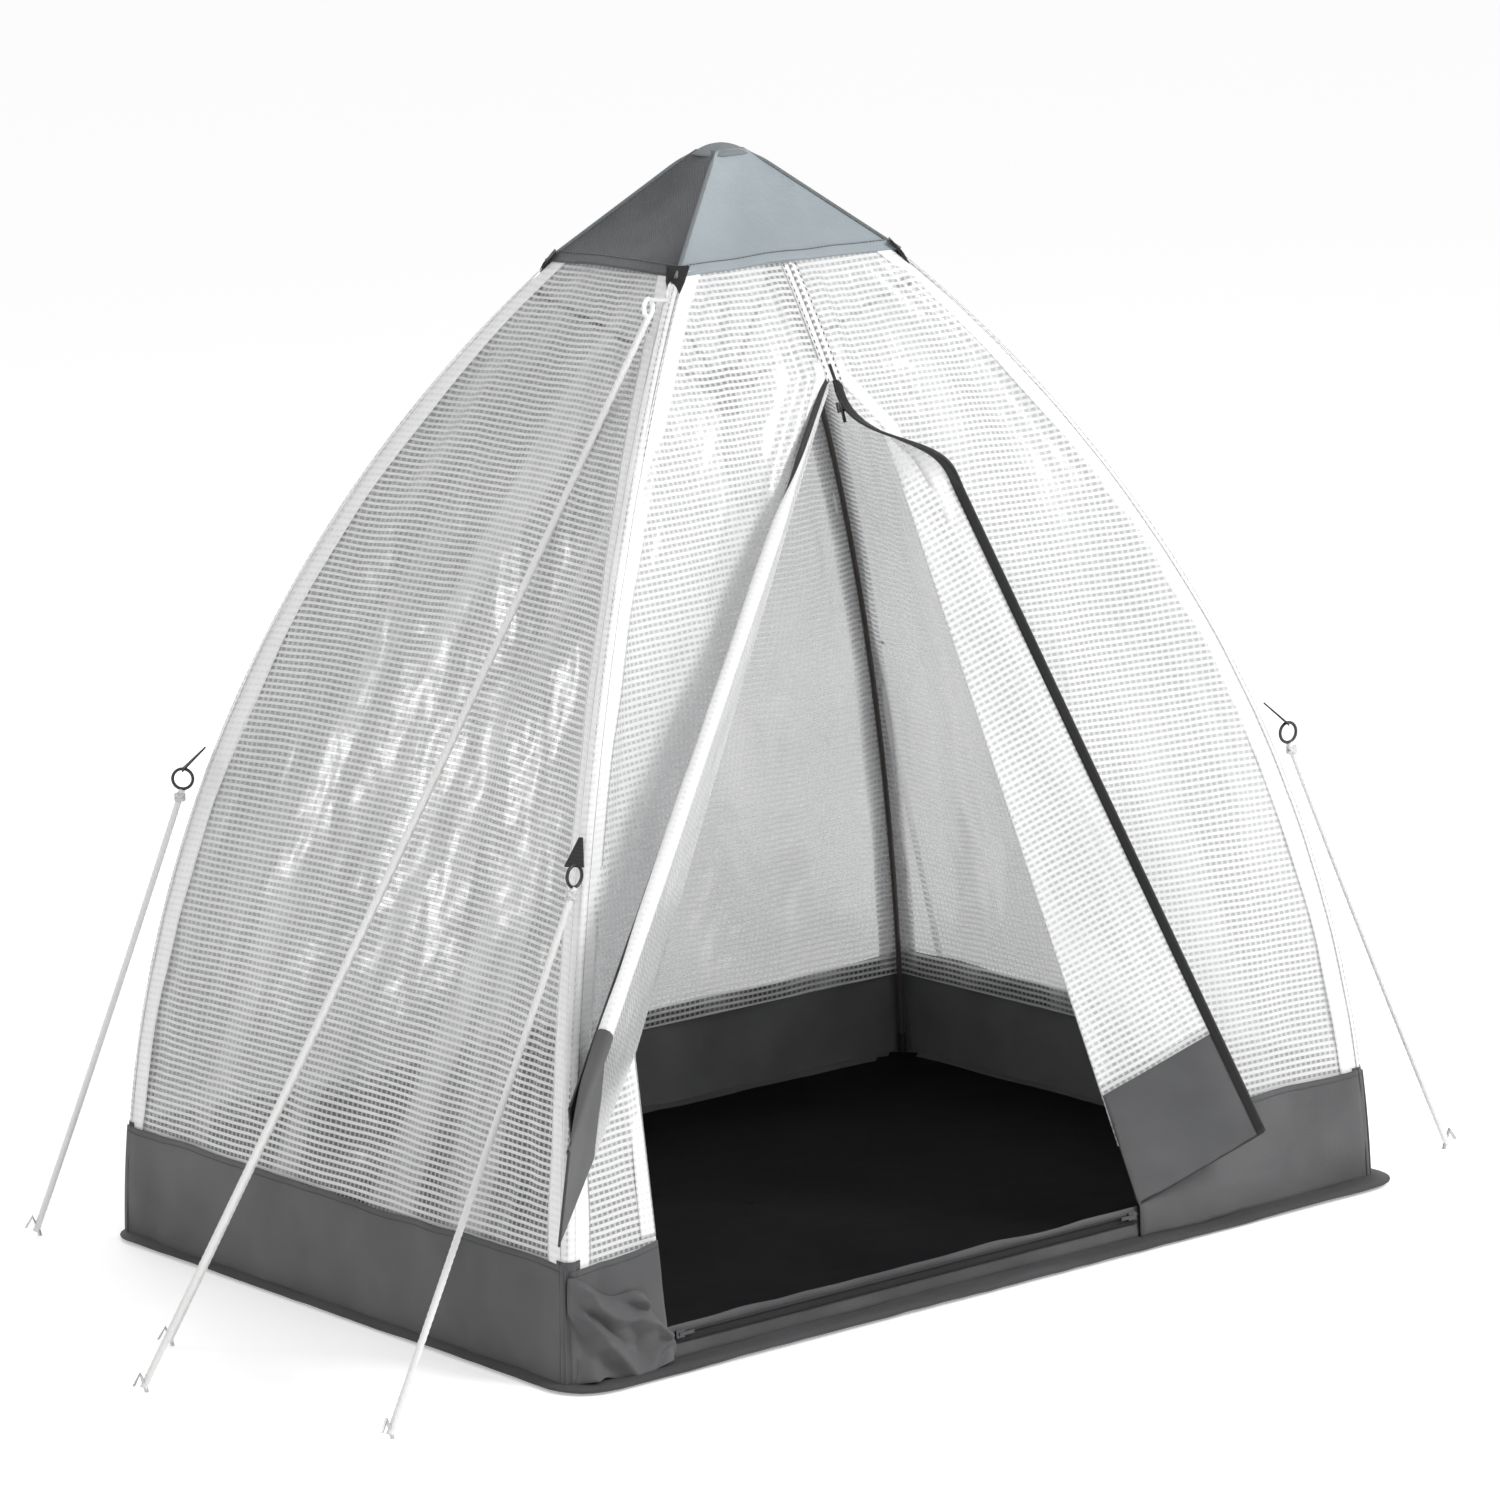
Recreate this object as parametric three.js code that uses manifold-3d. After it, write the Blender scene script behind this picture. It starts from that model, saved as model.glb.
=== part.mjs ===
// Mini pop up greenhouse: an umbrella frame of four curved ribs under a hub, a foil tent with a
// zipped door, a ground sheet and guy lines. Millimetres, +Z up, the origin on the ground at the
// middle of the base. The front, with the door, faces -Y and the left side faces -X.
import * as THREE from 'three';
import { mergeVertices } from 'three/addons/utils/BufferGeometryUtils.js';
import Module from 'manifold-3d';

const wasm = await Module();
wasm.setup();

// ---- driving dimensions ----
const baseWidth = 1500;
const baseDepth = 1060;
const footHeight = 2.5;
const capCornerRadius = 227;
const capCornerHeight = 1445;
const hubPivotRadius = 55;
const hubPivotHeight = 1555;
const ribBow = 171;
const poleRadius = 4.5;

const sheetThickness = 1.2;
const wallOffset = 11;
const wallBottom = 2.2;
const wallSag = 60;
const skirtHeight = 170;
const wallTop = 1444;
const groundThickness = 1.5;
const groundFlap = 70;
const groundCorner = 70;

const capTopHeight = 1592;
const capTopHalfX = 27;
const capTopHalfY = 23;
const capBottomHeight = 1436;
const capOffset = 20;

const tubeRadius = 10;
const tubeBottom = 1020;
const runnerHeight = 1250;
const runnerPinRadius = 30;
const bracketHeight = 1400;
const bracketDrop = 14;

const doorTopHeight = 1285;
const sillHeight = 50;
const doorLeft = -590;
const doorRight = 290;
const doorSideX = -560;
const doorSideHeight = 420;
const doorRightTop = 59;
const doorRightShoulder = 1200;
const zipFoot = 70;
const leafFolds = [-417, -168];
const leafStart = 90;
const rightFlapOpen = 150;
const leafAOpen = 132;
const leafBOpen = 177;
const leafCOpen = 177;

const ringHeight = 700;
const ropeRadius = 3.5;
const pegRadius = 3;

// ---- finishes ----
const finish = (color, roughness, metalness = 0, opacity = 1) => new THREE.MeshStandardMaterial({
  color, roughness, metalness, opacity, transparent: opacity < 1,
});
const foil = (color) => finish(color, 0.45, 0, 0.55);
const white = 0xeef0ee;
const grey = 0x66666a;
const black = 0x1c1c1e;

const group = new THREE.Group();

function addPart(name, geometry, material) {
  const mesh = new THREE.Mesh(geometry, material);
  mesh.name = name;
  group.add(mesh);
}

// ---- the frame's shape ----
const footRadius = Math.hypot(baseWidth, baseDepth) / 2;
const shareX = baseWidth / 2 / footRadius;
const shareY = baseDepth / 2 / footRadius;
const chordR = footRadius - capCornerRadius;
const chordZ = capCornerHeight - footHeight;
const chord = Math.hypot(chordR, chordZ);
const bowRadius = chord * chord / (8 * ribBow) + ribBow / 2;
const bowCentreR = (footRadius + capCornerRadius) / 2 - chordZ / chord * (bowRadius - ribBow);
const bowCentreZ = (footHeight + capCornerHeight) / 2 - chordR / chord * (bowRadius - ribBow);

// Distance of a rib from the centre line, at a height.
function ribRadius(z) {
  return bowCentreR + Math.sqrt(bowRadius * bowRadius - (z - bowCentreZ) ** 2);
}
const halfX = (z) => ribRadius(z) * shareX;
const halfY = (z) => ribRadius(z) * shareY;

const corners = [
  { name: 'fl', x: -1, y: -1 },
  { name: 'fr', x: 1, y: -1 },
  { name: 'bl', x: -1, y: 1 },
  { name: 'br', x: 1, y: 1 },
];

const heights = (low, high, steps) => {
  const list = [];
  for (let i = 0; i <= steps; i += 1) list.push(low + (high - low) * i / steps);
  return list;
};

// Heights that draw closer together towards the top, where the walls curve most steeply.
const wallLevels = (low, high, steps) => (
  heights(0, 1, steps).map((share) => high - (high - low) * (1 - share) ** 1.4));

// ---- solids ----
function toManifold(geometry) {
  const plain = geometry.clone();
  plain.deleteAttribute('normal');
  plain.deleteAttribute('uv');
  const merged = mergeVertices(plain, 1e-4);
  return new wasm.Manifold(new wasm.Mesh({
    numProp: 3,
    vertProperties: new Float32Array(merged.attributes.position.array),
    triVerts: new Uint32Array(merged.index.array),
  }));
}

function fromManifold(solid) {
  const mesh = solid.getMesh();
  const geometry = new THREE.BufferGeometry();
  geometry.setAttribute('position', new THREE.BufferAttribute(mesh.vertProperties, 3));
  geometry.setIndex(new THREE.BufferAttribute(mesh.triVerts, 1));
  return geometry.toNonIndexed();
}

function join(first, ...others) {
  let solid = toManifold(first);
  for (const other of others) solid = solid.add(toManifold(other));
  return fromManifold(solid);
}

function cut(first, ...others) {
  let solid = toManifold(first);
  for (const other of others) solid = solid.subtract(toManifold(other));
  return fromManifold(solid);
}

// A closed sheet: the triangles of one face, and the same face moved by an offset.
function slab(triangles, offset) {
  const points = [];
  const seen = new Map();
  const indexOf = (p) => {
    const key = p.toArray().map((c) => Math.round(c * 1e3)).join(',');
    if (!seen.has(key)) {
      seen.set(key, points.length);
      points.push(p);
    }
    return seen.get(key);
  };
  const faces = triangles.map((t) => t.map(indexOf));
  const edges = new Map();
  for (const [a, b, c] of faces) {
    for (const [i, j] of [[a, b], [b, c], [c, a]]) {
      if (edges.has(`${j},${i}`)) edges.delete(`${j},${i}`);
      else edges.set(`${i},${j}`, [i, j]);
    }
  }
  const count = points.length;
  const index = [];
  for (const [a, b, c] of faces) {
    index.push(a, b, c);
    index.push(a + count, c + count, b + count);
  }
  for (const [i, j] of edges.values()) {
    index.push(j, i, i + count);
    index.push(j, i + count, j + count);
  }
  const all = [...points, ...points.map((p) => p.clone().add(offset))];
  const geometry = new THREE.BufferGeometry().setFromPoints(all);
  if (signedVolume(all, index) < 0) index.reverse();
  geometry.setIndex(index);
  return geometry.toNonIndexed();
}

function signedVolume(points, index) {
  let sum = 0;
  for (let i = 0; i < index.length; i += 3) {
    const [a, b, c] = [points[index[i]], points[index[i + 1]], points[index[i + 2]]];
    sum += a.dot(b.clone().cross(c)) / 6;
  }
  return sum;
}

// Triangles of a grid of points: rows[i][j].
function gridTriangles(rows) {
  const triangles = [];
  for (let i = 0; i + 1 < rows.length; i += 1) {
    for (let j = 0; j + 1 < rows[i].length; j += 1) {
      const [a, b] = [rows[i][j], rows[i][j + 1]];
      const [c, d] = [rows[i + 1][j + 1], rows[i + 1][j]];
      triangles.push([a, b, c], [a, c, d]);
    }
  }
  return triangles.filter(([a, b, c]) => new THREE.Triangle(a, b, c).getArea() > 1e-3);
}

function rowBetween(from, to, steps) {
  return heights(0, 1, steps).map((share) => from.clone().lerp(to, share));
}

// A round bar along a path.
function bar(points, radius, sides = 10, steps = points.length - 1) {
  const path = points.length === 2
    ? new THREE.LineCurve3(points[0], points[1])
    : new THREE.CatmullRomCurve3(points, false, 'centripetal');
  const circle = new THREE.Shape().absarc(0, 0, radius, 0, Math.PI * 2);
  return new THREE.ExtrudeGeometry(circle, {
    steps, bevelEnabled: false, extrudePath: path, curveSegments: sides / 2,
  });
}

// A turned solid whose own axis is +Z, then turned to point along a direction from a place.
function turned(profile, sides, place, direction) {
  const geometry = new THREE.LatheGeometry(profile.map(([r, z]) => new THREE.Vector2(r, z)), sides);
  const turn = new THREE.Quaternion().setFromUnitVectors(new THREE.Vector3(0, 1, 0), direction);
  geometry.applyQuaternion(turn);
  geometry.translate(place.x, place.y, place.z);
  return geometry;
}

const up = new THREE.Vector3(0, 0, 1);
const at = (x, y, z) => new THREE.Vector3(x, y, z);
const ribPoint = (corner, r, z) => at(corner.x * r * shareX, corner.y * r * shareY, z);

// ---- ground sheet ----
function groundSheet() {
  const x = baseWidth / 2 + groundFlap;
  const y = baseDepth / 2 + groundFlap;
  const shape = new THREE.Shape();
  shape.absarc(x - groundCorner, y - groundCorner, groundCorner, 0, Math.PI / 2);
  shape.absarc(-x + groundCorner, y - groundCorner, groundCorner, Math.PI / 2, Math.PI);
  shape.absarc(-x + groundCorner, -y + groundCorner, groundCorner, Math.PI, Math.PI * 1.5);
  shape.absarc(x - groundCorner, -y + groundCorner, groundCorner, Math.PI * 1.5, Math.PI * 2);
  return new THREE.ExtrudeGeometry(shape, {
    depth: groundThickness, bevelEnabled: false, curveSegments: 6,
  });
}
addPart('ground_sheet', groundSheet(), finish(black, 0.85));

// ---- hub and centre tube ----
const hubRadius = 28;
const earInner = 5.6;
const earOuter = 9.2;
const earReach = 9;

// Two ears that hold a pivot, in a corner's plane: built along +X, then turned to the corner.
function earPair(corner, fromRadius, pinRadius, z, reach, drop) {
  const ears = [];
  for (const side of [-1, 1]) {
    const ear = new THREE.Shape();
    ear.moveTo(fromRadius, -drop);
    ear.lineTo(pinRadius, -reach);
    ear.absarc(pinRadius, 0, reach, -Math.PI / 2, Math.PI / 2);
    ear.lineTo(fromRadius, drop);
    ear.closePath();
    const plate = new THREE.ExtrudeGeometry(ear, {
      depth: earOuter - earInner, bevelEnabled: false, curveSegments: 6,
    });
    plate.rotateX(Math.PI / 2);
    plate.translate(0, side > 0 ? earOuter : -earInner, z);
    plate.rotateZ(Math.atan2(corner.y * shareY, corner.x * shareX));
    ears.push(plate);
  }
  return ears;
}

function pivotPin(corner, radius, z, pinRadius, halfLength) {
  const pin = new THREE.CylinderGeometry(pinRadius, pinRadius, 2 * halfLength, 12);
  pin.translate(radius, 0, z);
  pin.rotateZ(Math.atan2(corner.y * shareY, corner.x * shareX));
  return pin;
}

function topHub() {
  const disc = turned([[0, -15], [hubRadius, -15], [hubRadius, 9], [20, 12], [0, 12]], 24,
    at(0, 0, hubPivotHeight), up);
  const pieces = [];
  for (const corner of corners) {
    pieces.push(...earPair(corner, 22, hubPivotRadius, hubPivotHeight, earReach, earReach));
    pieces.push(pivotPin(corner, hubPivotRadius, hubPivotHeight, 3, (earInner + earOuter) / 2));
  }
  return join(disc, ...pieces);
}
addPart('top_hub', topHub(), finish(black, 0.5));

const tubeTop = hubPivotHeight - 15.4;
addPart('centre_tube', turned([
  [tubeRadius - 1.5, 6], [tubeRadius, 6], [tubeRadius, tubeTop - tubeBottom],
  [0, tubeTop - tubeBottom], [0, tubeTop - tubeBottom - 12],
  [tubeRadius - 1.5, tubeTop - tubeBottom - 12], [tubeRadius - 1.5, 6],
], 16, at(0, 0, tubeBottom), up), finish(0xb9bcbf, 0.35, 0.8));

// ---- runner, which slides on the tube ----
function runnerRing() {
  const sleeve = turned([
    [tubeRadius + 0.5, -24], [tubeRadius + 5, -24], [tubeRadius + 5, 24],
    [tubeRadius + 0.5, 24], [tubeRadius + 0.5, -24],
  ], 16, at(0, 0, runnerHeight), up);
  const grip = turned([
    [tubeRadius + 4, -46], [tubeRadius + 8, -46], [tubeRadius + 8, -22],
    [tubeRadius + 4, -22], [tubeRadius + 4, -46],
  ], 16, at(0, 0, runnerHeight), up);
  const ears = corners.flatMap((corner) => (
    earPair(corner, tubeRadius + 2.5, runnerPinRadius, runnerHeight, 14, 14)));
  return join(sleeve, grip, ...ears);
}
addPart('runner', runnerRing(), finish(black, 0.5));

// ---- ribs, their fittings and their struts ----
const slope = Math.atan2(hubPivotHeight - capCornerHeight, capCornerRadius - hubPivotRadius);

function ribPath(corner) {
  const points = [];
  for (const start of [20, 60, 110, 150]) {
    points.push(ribPoint(corner, hubPivotRadius + start * Math.cos(slope),
      hubPivotHeight - start * Math.sin(slope)));
  }
  for (const z of [capCornerHeight, 1380, 1300, 1200, 1080, 950, 800, 650, 500, 350, 200, 100, 12]) {
    points.push(ribPoint(corner, ribRadius(z), z));
  }
  return points;
}

function ribSocket(corner) {
  const out = ribPoint(corner, Math.cos(slope), -Math.sin(slope));
  const pivot = ribPoint(corner, hubPivotRadius, hubPivotHeight);
  const block = new THREE.BoxGeometry(24, 10.4, 12);
  block.rotateY(slope);
  block.translate(hubPivotRadius + 6 * Math.cos(slope), 0, hubPivotHeight - 6 * Math.sin(slope));
  block.rotateZ(Math.atan2(corner.y * shareY, corner.x * shareX));
  const sleeve = turned([[0, 13], [8, 13], [8, 62], [0, 62]], 16, pivot, out);
  const bore = turned([[0, 18], [5, 18], [5, 70], [0, 70]], 16, pivot, out);
  const hole = pivotPin(corner, hubPivotRadius, hubPivotHeight, 3.3, 12);
  return cut(join(block, sleeve), bore, hole);
}

// The strut's pivot on a rib lies below the pole, square to it.
const bracketSlope = 1;
function bracketFrame() {
  const r = ribRadius(bracketHeight);
  const down = at(ribRadius(bracketHeight - bracketSlope) - r, 0, -bracketSlope).normalize();
  const inward = at(down.z, 0, -down.x);
  return { r, down, inward };
}
const bracket = bracketFrame();
const strutPinR = bracket.r + bracket.inward.x * bracketDrop;
const strutPinZ = bracketHeight + bracket.inward.z * bracketDrop;

function ribBracket(corner) {
  const along = ribPoint(corner, bracket.down.x, bracket.down.z);
  const place = ribPoint(corner, bracket.r, bracketHeight);
  const sleeve = turned([[0, -16], [7.5, -16], [7.5, 16], [0, 16]], 16, place, along);
  const bore = turned([[0, -20], [4.9, -20], [4.9, 20], [0, 20]], 16, place, along);
  const turn = Math.atan2(corner.y * shareY, corner.x * shareX);
  const basis = new THREE.Matrix4()
    .makeBasis(bracket.inward, at(0, 1, 0), bracket.inward.clone().cross(at(0, 1, 0)))
    .setPosition(at(bracket.r, 0, bracketHeight));
  const ears = [];
  for (const side of [-1, 1]) {
    const ear = new THREE.BoxGeometry(22, 3.4, 14);
    ear.translate(11, side * 7.3, 0);
    ear.applyMatrix4(basis);
    ear.rotateZ(turn);
    ears.push(ear);
  }
  return cut(join(sleeve, ...ears), bore);
}

for (const corner of corners) {
  const path = ribPath(corner);
  addPart(`rib_${corner.name}_pole`, bar(path, poleRadius, 8, 22), finish(0x3a3432, 0.5));
  addPart(`rib_${corner.name}_socket`, ribSocket(corner), finish(black, 0.5));
  addPart(`rib_${corner.name}_bracket`, ribBracket(corner), finish(black, 0.5));
  const fromFoot = ribPoint(corner, ribRadius(60) - footRadius, 60 - footHeight).normalize();
  const foot = turned([[0, 0], [7, 0], [6.4, 40], [4.9, 40], [4.9, 4], [0, 4]], 14,
    ribPoint(corner, footRadius, footHeight), fromFoot);
  addPart(`rib_${corner.name}_foot`, foot, finish(black, 0.6));
  const upper = ribPoint(corner, strutPinR, strutPinZ);
  const lower = ribPoint(corner, runnerPinRadius, runnerHeight);
  const reach = upper.distanceTo(lower);
  const strut = turned([[0, -5], [3.5, -3.5], [5, 0], [4, 10], [4, reach - 10], [5, reach],
    [3.5, reach + 3.5], [0, reach + 5]], 10, upper, lower.clone().sub(upper).normalize());
  addPart(`strut_${corner.name}`, strut, finish(0xb9bcbf, 0.35, 0.8));
}

// ---- cap over the hub ----
function capRing(share, inset) {
  const z = capTopHeight + (capBottomHeight - capTopHeight) * share;
  const wideX = halfX(capBottomHeight) + capOffset;
  const wideY = halfY(capBottomHeight) + capOffset;
  const x = capTopHalfX + (wideX - capTopHalfX) * share - inset;
  const y = capTopHalfY + (wideY - capTopHalfY) * share - inset;
  return [at(x, y, z), at(-x, y, z), at(-x, -y, z), at(x, -y, z)];
}

function capCover() {
  const drop = 1.5;
  const outerTop = capRing(0, 0);
  const outerLow = capRing(1, 0);
  const innerTop = capRing(0, 1.5).map((p) => p.clone().setZ(p.z - drop));
  const innerLow = capRing(1, 1.5);
  const triangles = [];
  const quad = (a, b, c, d) => triangles.push([a, b, c], [a, c, d]);
  quad(...outerTop);
  quad(...[...innerTop].reverse());
  for (let i = 0; i < 4; i += 1) {
    const j = (i + 1) % 4;
    quad(outerTop[i], outerLow[i], outerLow[j], outerTop[j]);
    quad(innerTop[i], innerTop[j], innerLow[j], innerLow[i]);
    quad(outerLow[i], innerLow[i], innerLow[j], outerLow[j]);
  }
  const geometry = new THREE.BufferGeometry().setFromPoints(triangles.flat());
  return geometry;
}
addPart('cap_cover', capCover(), finish(0x8b9094, 0.75));

// ---- walls and skirts ----
const outer = wallOffset + sheetThickness;

// Every wall has its rows at the same heights, so that neighbours stay clear along the ribs.
const skirtLevels = [wallBottom, sillHeight, 110, skirtHeight];
const foilLevels = [
  ...heights(skirtHeight + 0.4, doorSideHeight, 3),
  ...wallLevels(doorSideHeight, doorRightShoulder, 7).slice(1),
  ...heights(doorRightShoulder, doorTopHeight, 2).slice(1),
  ...heights(doorTopHeight, wallTop, 4).slice(1),
];

// How far a wall's middle hangs inside the line between its ribs, at a height.
function sagAt(z) {
  if (z <= skirtHeight) return 0;
  return wallSag * Math.sin(Math.PI * (z - skirtHeight) / (wallTop - skirtHeight));
}

// One wall without a door, as rows of points on its outer face.
function plainWall(side, levels) {
  return levels.map((z) => heights(-1, 1, 4).map((share) => {
    const sag = sagAt(z) * (1 - share * share);
    if (side.axis === 'y') {
      return at(share * (halfX(z) + wallOffset - 0.4), side.sign * (halfY(z) + outer - sag), z);
    }
    return at(side.sign * (halfX(z) + outer - sag), share * (halfY(z) + outer), z);
  }));
}

const inwardOffset = (side) => (side.axis === 'y'
  ? at(0, -side.sign * sheetThickness, 0)
  : at(-side.sign * sheetThickness, 0, 0));

const plainSides = [
  { name: 'back', axis: 'y', sign: 1 },
  { name: 'left', axis: 'x', sign: -1 },
  { name: 'right', axis: 'x', sign: 1 },
];
for (const side of plainSides) {
  const skirt = slab(gridTriangles(plainWall(side, skirtLevels)), inwardOffset(side));
  const sheet = slab(gridTriangles(plainWall(side, foilLevels)), inwardOffset(side));
  addPart(`skirt_${side.name}`, skirt, finish(grey, 0.8));
  addPart(`wall_${side.name}`, sheet, foil(white));
}

// ---- front wall, with a doorway that narrows to a point ----
const doorTop = at(0, -(halfY(doorTopHeight) + outer), doorTopHeight);
const doorFootY = -(halfY(sillHeight) + outer);

// Where a straight line between two heights stands at a third.
function along(x1, z1, x2, z2, z) {
  return x1 + (x2 - x1) * (z - z1) / (z2 - z1);
}

function doorLeftX(z) {
  if (z >= doorSideHeight) return along(0, doorTopHeight, doorSideX, doorSideHeight, z);
  return along(doorSideX, doorSideHeight, doorLeft, sillHeight, z);
}

const rightHingeX = (z) => along(doorRightTop, doorTopHeight, doorRight, sillHeight, z);

function doorRightX(z) {
  if (z <= doorRightShoulder) return rightHingeX(z);
  return along(0, doorTopHeight, rightHingeX(doorRightShoulder), doorRightShoulder, z);
}

function doorEdge(edgeX, z) {
  if (z >= doorTopHeight) return at(0, -(halfY(z) + outer), z);
  if (z <= sillHeight) return at(edgeX(sillHeight), -(halfY(z) + outer), z);
  return at(edgeX(z), along(doorTop.y, doorTopHeight, doorFootY, sillHeight, z), z);
}

function frontRows(edgeX, sign, levels) {
  return levels.map((z) => {
    const corner = at(sign * (halfX(z) + wallOffset - 0.4), -(halfY(z) + outer), z);
    const edge = doorEdge(edgeX, z);
    return sign < 0 ? rowBetween(corner, edge, 2) : rowBetween(edge, corner, 2);
  });
}

const frontOffset = at(0, sheetThickness, 0);
addPart('wall_front', slab([
  ...gridTriangles(frontRows(doorLeftX, -1, foilLevels)),
  ...gridTriangles(frontRows(doorRightX, 1, foilLevels)),
], frontOffset), foil(white));

const sillRows = [wallBottom, sillHeight].map((z) => (
  rowBetween(doorEdge(doorLeftX, z), doorEdge(doorRightX, z), 2)));
addPart('skirt_front', slab([
  ...gridTriangles(frontRows(doorLeftX, -1, skirtLevels)),
  ...gridTriangles(frontRows(doorRightX, 1, skirtLevels)),
  ...gridTriangles(sillRows),
], frontOffset), finish(grey, 0.8));

// ---- door flaps, drawn shut in the doorway's plane and then turned to where they hang open ----
const doorDown = at(0, doorFootY, sillHeight).sub(doorTop);
const doorLength = doorDown.length();
doorDown.normalize();
const doorNormal = doorDown.clone().cross(at(1, 0, 0));
const hingeLift = 1;

const doorPoint = (x, s, n = 0) => doorTop.clone()
  .add(at(x, 0, 0))
  .addScaledVector(doorDown, s)
  .addScaledVector(doorNormal, n);

// A flat leaf between two edges, given as the sideways place of each at a distance down the door.
function leaf(fromX, toX, stops, low, high) {
  const rows = stops.map((s) => [doorPoint(fromX(s), s, high), doorPoint(toX(s), s, high)]);
  return slab(gridTriangles(rows), doorNormal.clone().multiplyScalar(low - high));
}

// Turns a point, or a geometry, about the line from the doorway's top to a place on its foot.
function foldMatrix(axisFrom, axisTo, degrees) {
  const axis = axisTo.clone().sub(axisFrom).normalize();
  const turn = new THREE.Matrix4().makeRotationAxis(axis, THREE.MathUtils.degToRad(degrees));
  return new THREE.Matrix4().makeTranslation(axisFrom.x, axisFrom.y, axisFrom.z)
    .multiply(turn)
    .multiply(new THREE.Matrix4().makeTranslation(-axisFrom.x, -axisFrom.y, -axisFrom.z));
}

// Heights and distances down the door stand in a fixed proportion, because the door is flat.
const heightAt = (s) => along(doorTopHeight, 0, sillHeight, doorLength, s);
const stopAt = (z) => along(0, doorTopHeight, doorLength, sillHeight, z);
const fromTop = (foot) => (s) => foot * s / doorLength;
const shifted = (edgeX, trim) => (s) => edgeX(s) + trim;

const sideStop = stopAt(doorSideHeight);
const sheetBack = -sheetThickness;
const apex = doorPoint(0, 0, hingeLift);
const backApex = doorPoint(0, 0, sheetBack - hingeLift);
const sideHinge = doorPoint(doorSideX, sideStop, hingeLift);
const firstFold = doorPoint(leafFolds[0], doorLength, hingeLift);
const secondFold = doorPoint(leafFolds[1], doorLength, sheetBack - hingeLift);
const rightHingeHead = doorPoint(doorRightTop, 0, hingeLift);
const rightHingeFoot = doorPoint(doorRight, doorLength, hingeLift);
const leafATurn = foldMatrix(apex, sideHinge, leafAOpen);
const leafBTurn = leafATurn.clone().multiply(foldMatrix(apex, firstFold, leafBOpen));
const leafCTurn = leafBTurn.clone().multiply(foldMatrix(backApex, secondFold, -leafCOpen));
const rightTurn = foldMatrix(rightHingeHead, rightHingeFoot, -rightFlapOpen);

const leafEnd = doorLength - 3;
const stops = [leafStart, sideStop, leafEnd];
const leftX = (s) => doorLeftX(heightAt(s));
const rightX = (s) => doorRightX(heightAt(s));
const foldX = leafFolds.map(fromTop);
const zipX = fromTop(zipFoot);
const leafA = leaf(shifted(leftX, 3), shifted(foldX[0], -2), stops, sheetBack, 0);
const leafB = leaf(shifted(foldX[0], 2), shifted(foldX[1], -2), stops, sheetBack, 0);
const leafC = leaf(shifted(foldX[1], 2), shifted(zipX, -7), stops, sheetBack, 0);
const rightFlap = leaf(shifted(zipX, 7), shifted(rightX, -3), stops, sheetBack, 0);
const leftZip = leaf(shifted(zipX, -6.6), shifted(zipX, -1.6), stops, -1.6, 0.4);
const rightZip = leaf(shifted(zipX, 1.6), shifted(zipX, 6.6), stops, -1.6, 0.4);
addPart('door_leaf_a', leafA.applyMatrix4(leafATurn), foil(white));
addPart('door_leaf_b', leafB.applyMatrix4(leafBTurn), foil(white));
addPart('door_leaf_c', leafC.applyMatrix4(leafCTurn), foil(white));
addPart('door_right', rightFlap.applyMatrix4(rightTurn), foil(white));
addPart('door_zip_left', leftZip.applyMatrix4(leafCTurn), finish(black, 0.5));
addPart('door_zip_right', rightZip.applyMatrix4(rightTurn), finish(black, 0.5));

// ---- sill zip and the sliders ----
function block(sizeX, sizeY, sizeZ, place) {
  const box = new THREE.BoxGeometry(sizeX, sizeY, sizeZ);
  box.translate(place.x, place.y, place.z);
  return box;
}
const sillFaceY = doorFootY;
addPart('sill_zip', block(doorRight - doorLeft - 8, 2, 6,
  at((doorLeft + doorRight) / 2, sillFaceY - 3.2, 40)), finish(black, 0.5));

function sliderBody(along, lift, centre) {
  const across = along.clone().cross(lift);
  const frame = new THREE.Matrix4().makeBasis(across, along, lift).setPosition(centre);
  const body = new THREE.BoxGeometry(11, 15, 4.4);
  const tab = new THREE.BoxGeometry(5, 26, 1.4);
  tab.translate(0, 10, 2.8);
  return join(body, tab).applyMatrix4(frame);
}
const zipDown = at(zipFoot, 0, 0).addScaledVector(doorDown, doorLength).normalize();
addPart('slider_door', sliderBody(zipDown, doorNormal, doorPoint(2.7, 50, 3.2)),
  finish(0x2a2a2c, 0.4, 0.6));
const sliderY = sillFaceY - 3.2 - 1.4 - 2.2;
addPart('slider_left', sliderBody(at(1, 0, 0), at(0, -1, 0), at(doorLeft + 18, sliderY, 40)),
  finish(0x2a2a2c, 0.4, 0.6));
addPart('slider_right', sliderBody(at(-1, 0, 0), at(0, -1, 0), at(doorRight - 18, sliderY, 40)),
  finish(0x2a2a2c, 0.4, 0.6));

// ---- guy lines: a ring on each rib, a rope and a peg ----
const ropeEnds = {
  fl: at(-1070, -550, 0),
  fr: at(970, -500, 0),
  bl: at(-860, 640, 0),
  br: at(940, 620, 0),
};

function pegAt(end, away) {
  const shaft = away.clone().multiplyScalar(-0.25).add(at(0, 0, -1)).normalize();
  const head = end.clone().add(at(0, 0, 22));
  const path = [
    head.clone().addScaledVector(away, 16).add(at(0, 0, -10)),
    head.clone().addScaledVector(away, 12).add(at(0, 0, 4)),
    head.clone().addScaledVector(away, 2).add(at(0, 0, 6)),
    head,
    head.clone().addScaledVector(shaft, 60),
    head.clone().addScaledVector(shaft, 150),
  ];
  return bar(path, pegRadius, 6, 8);
}

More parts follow.
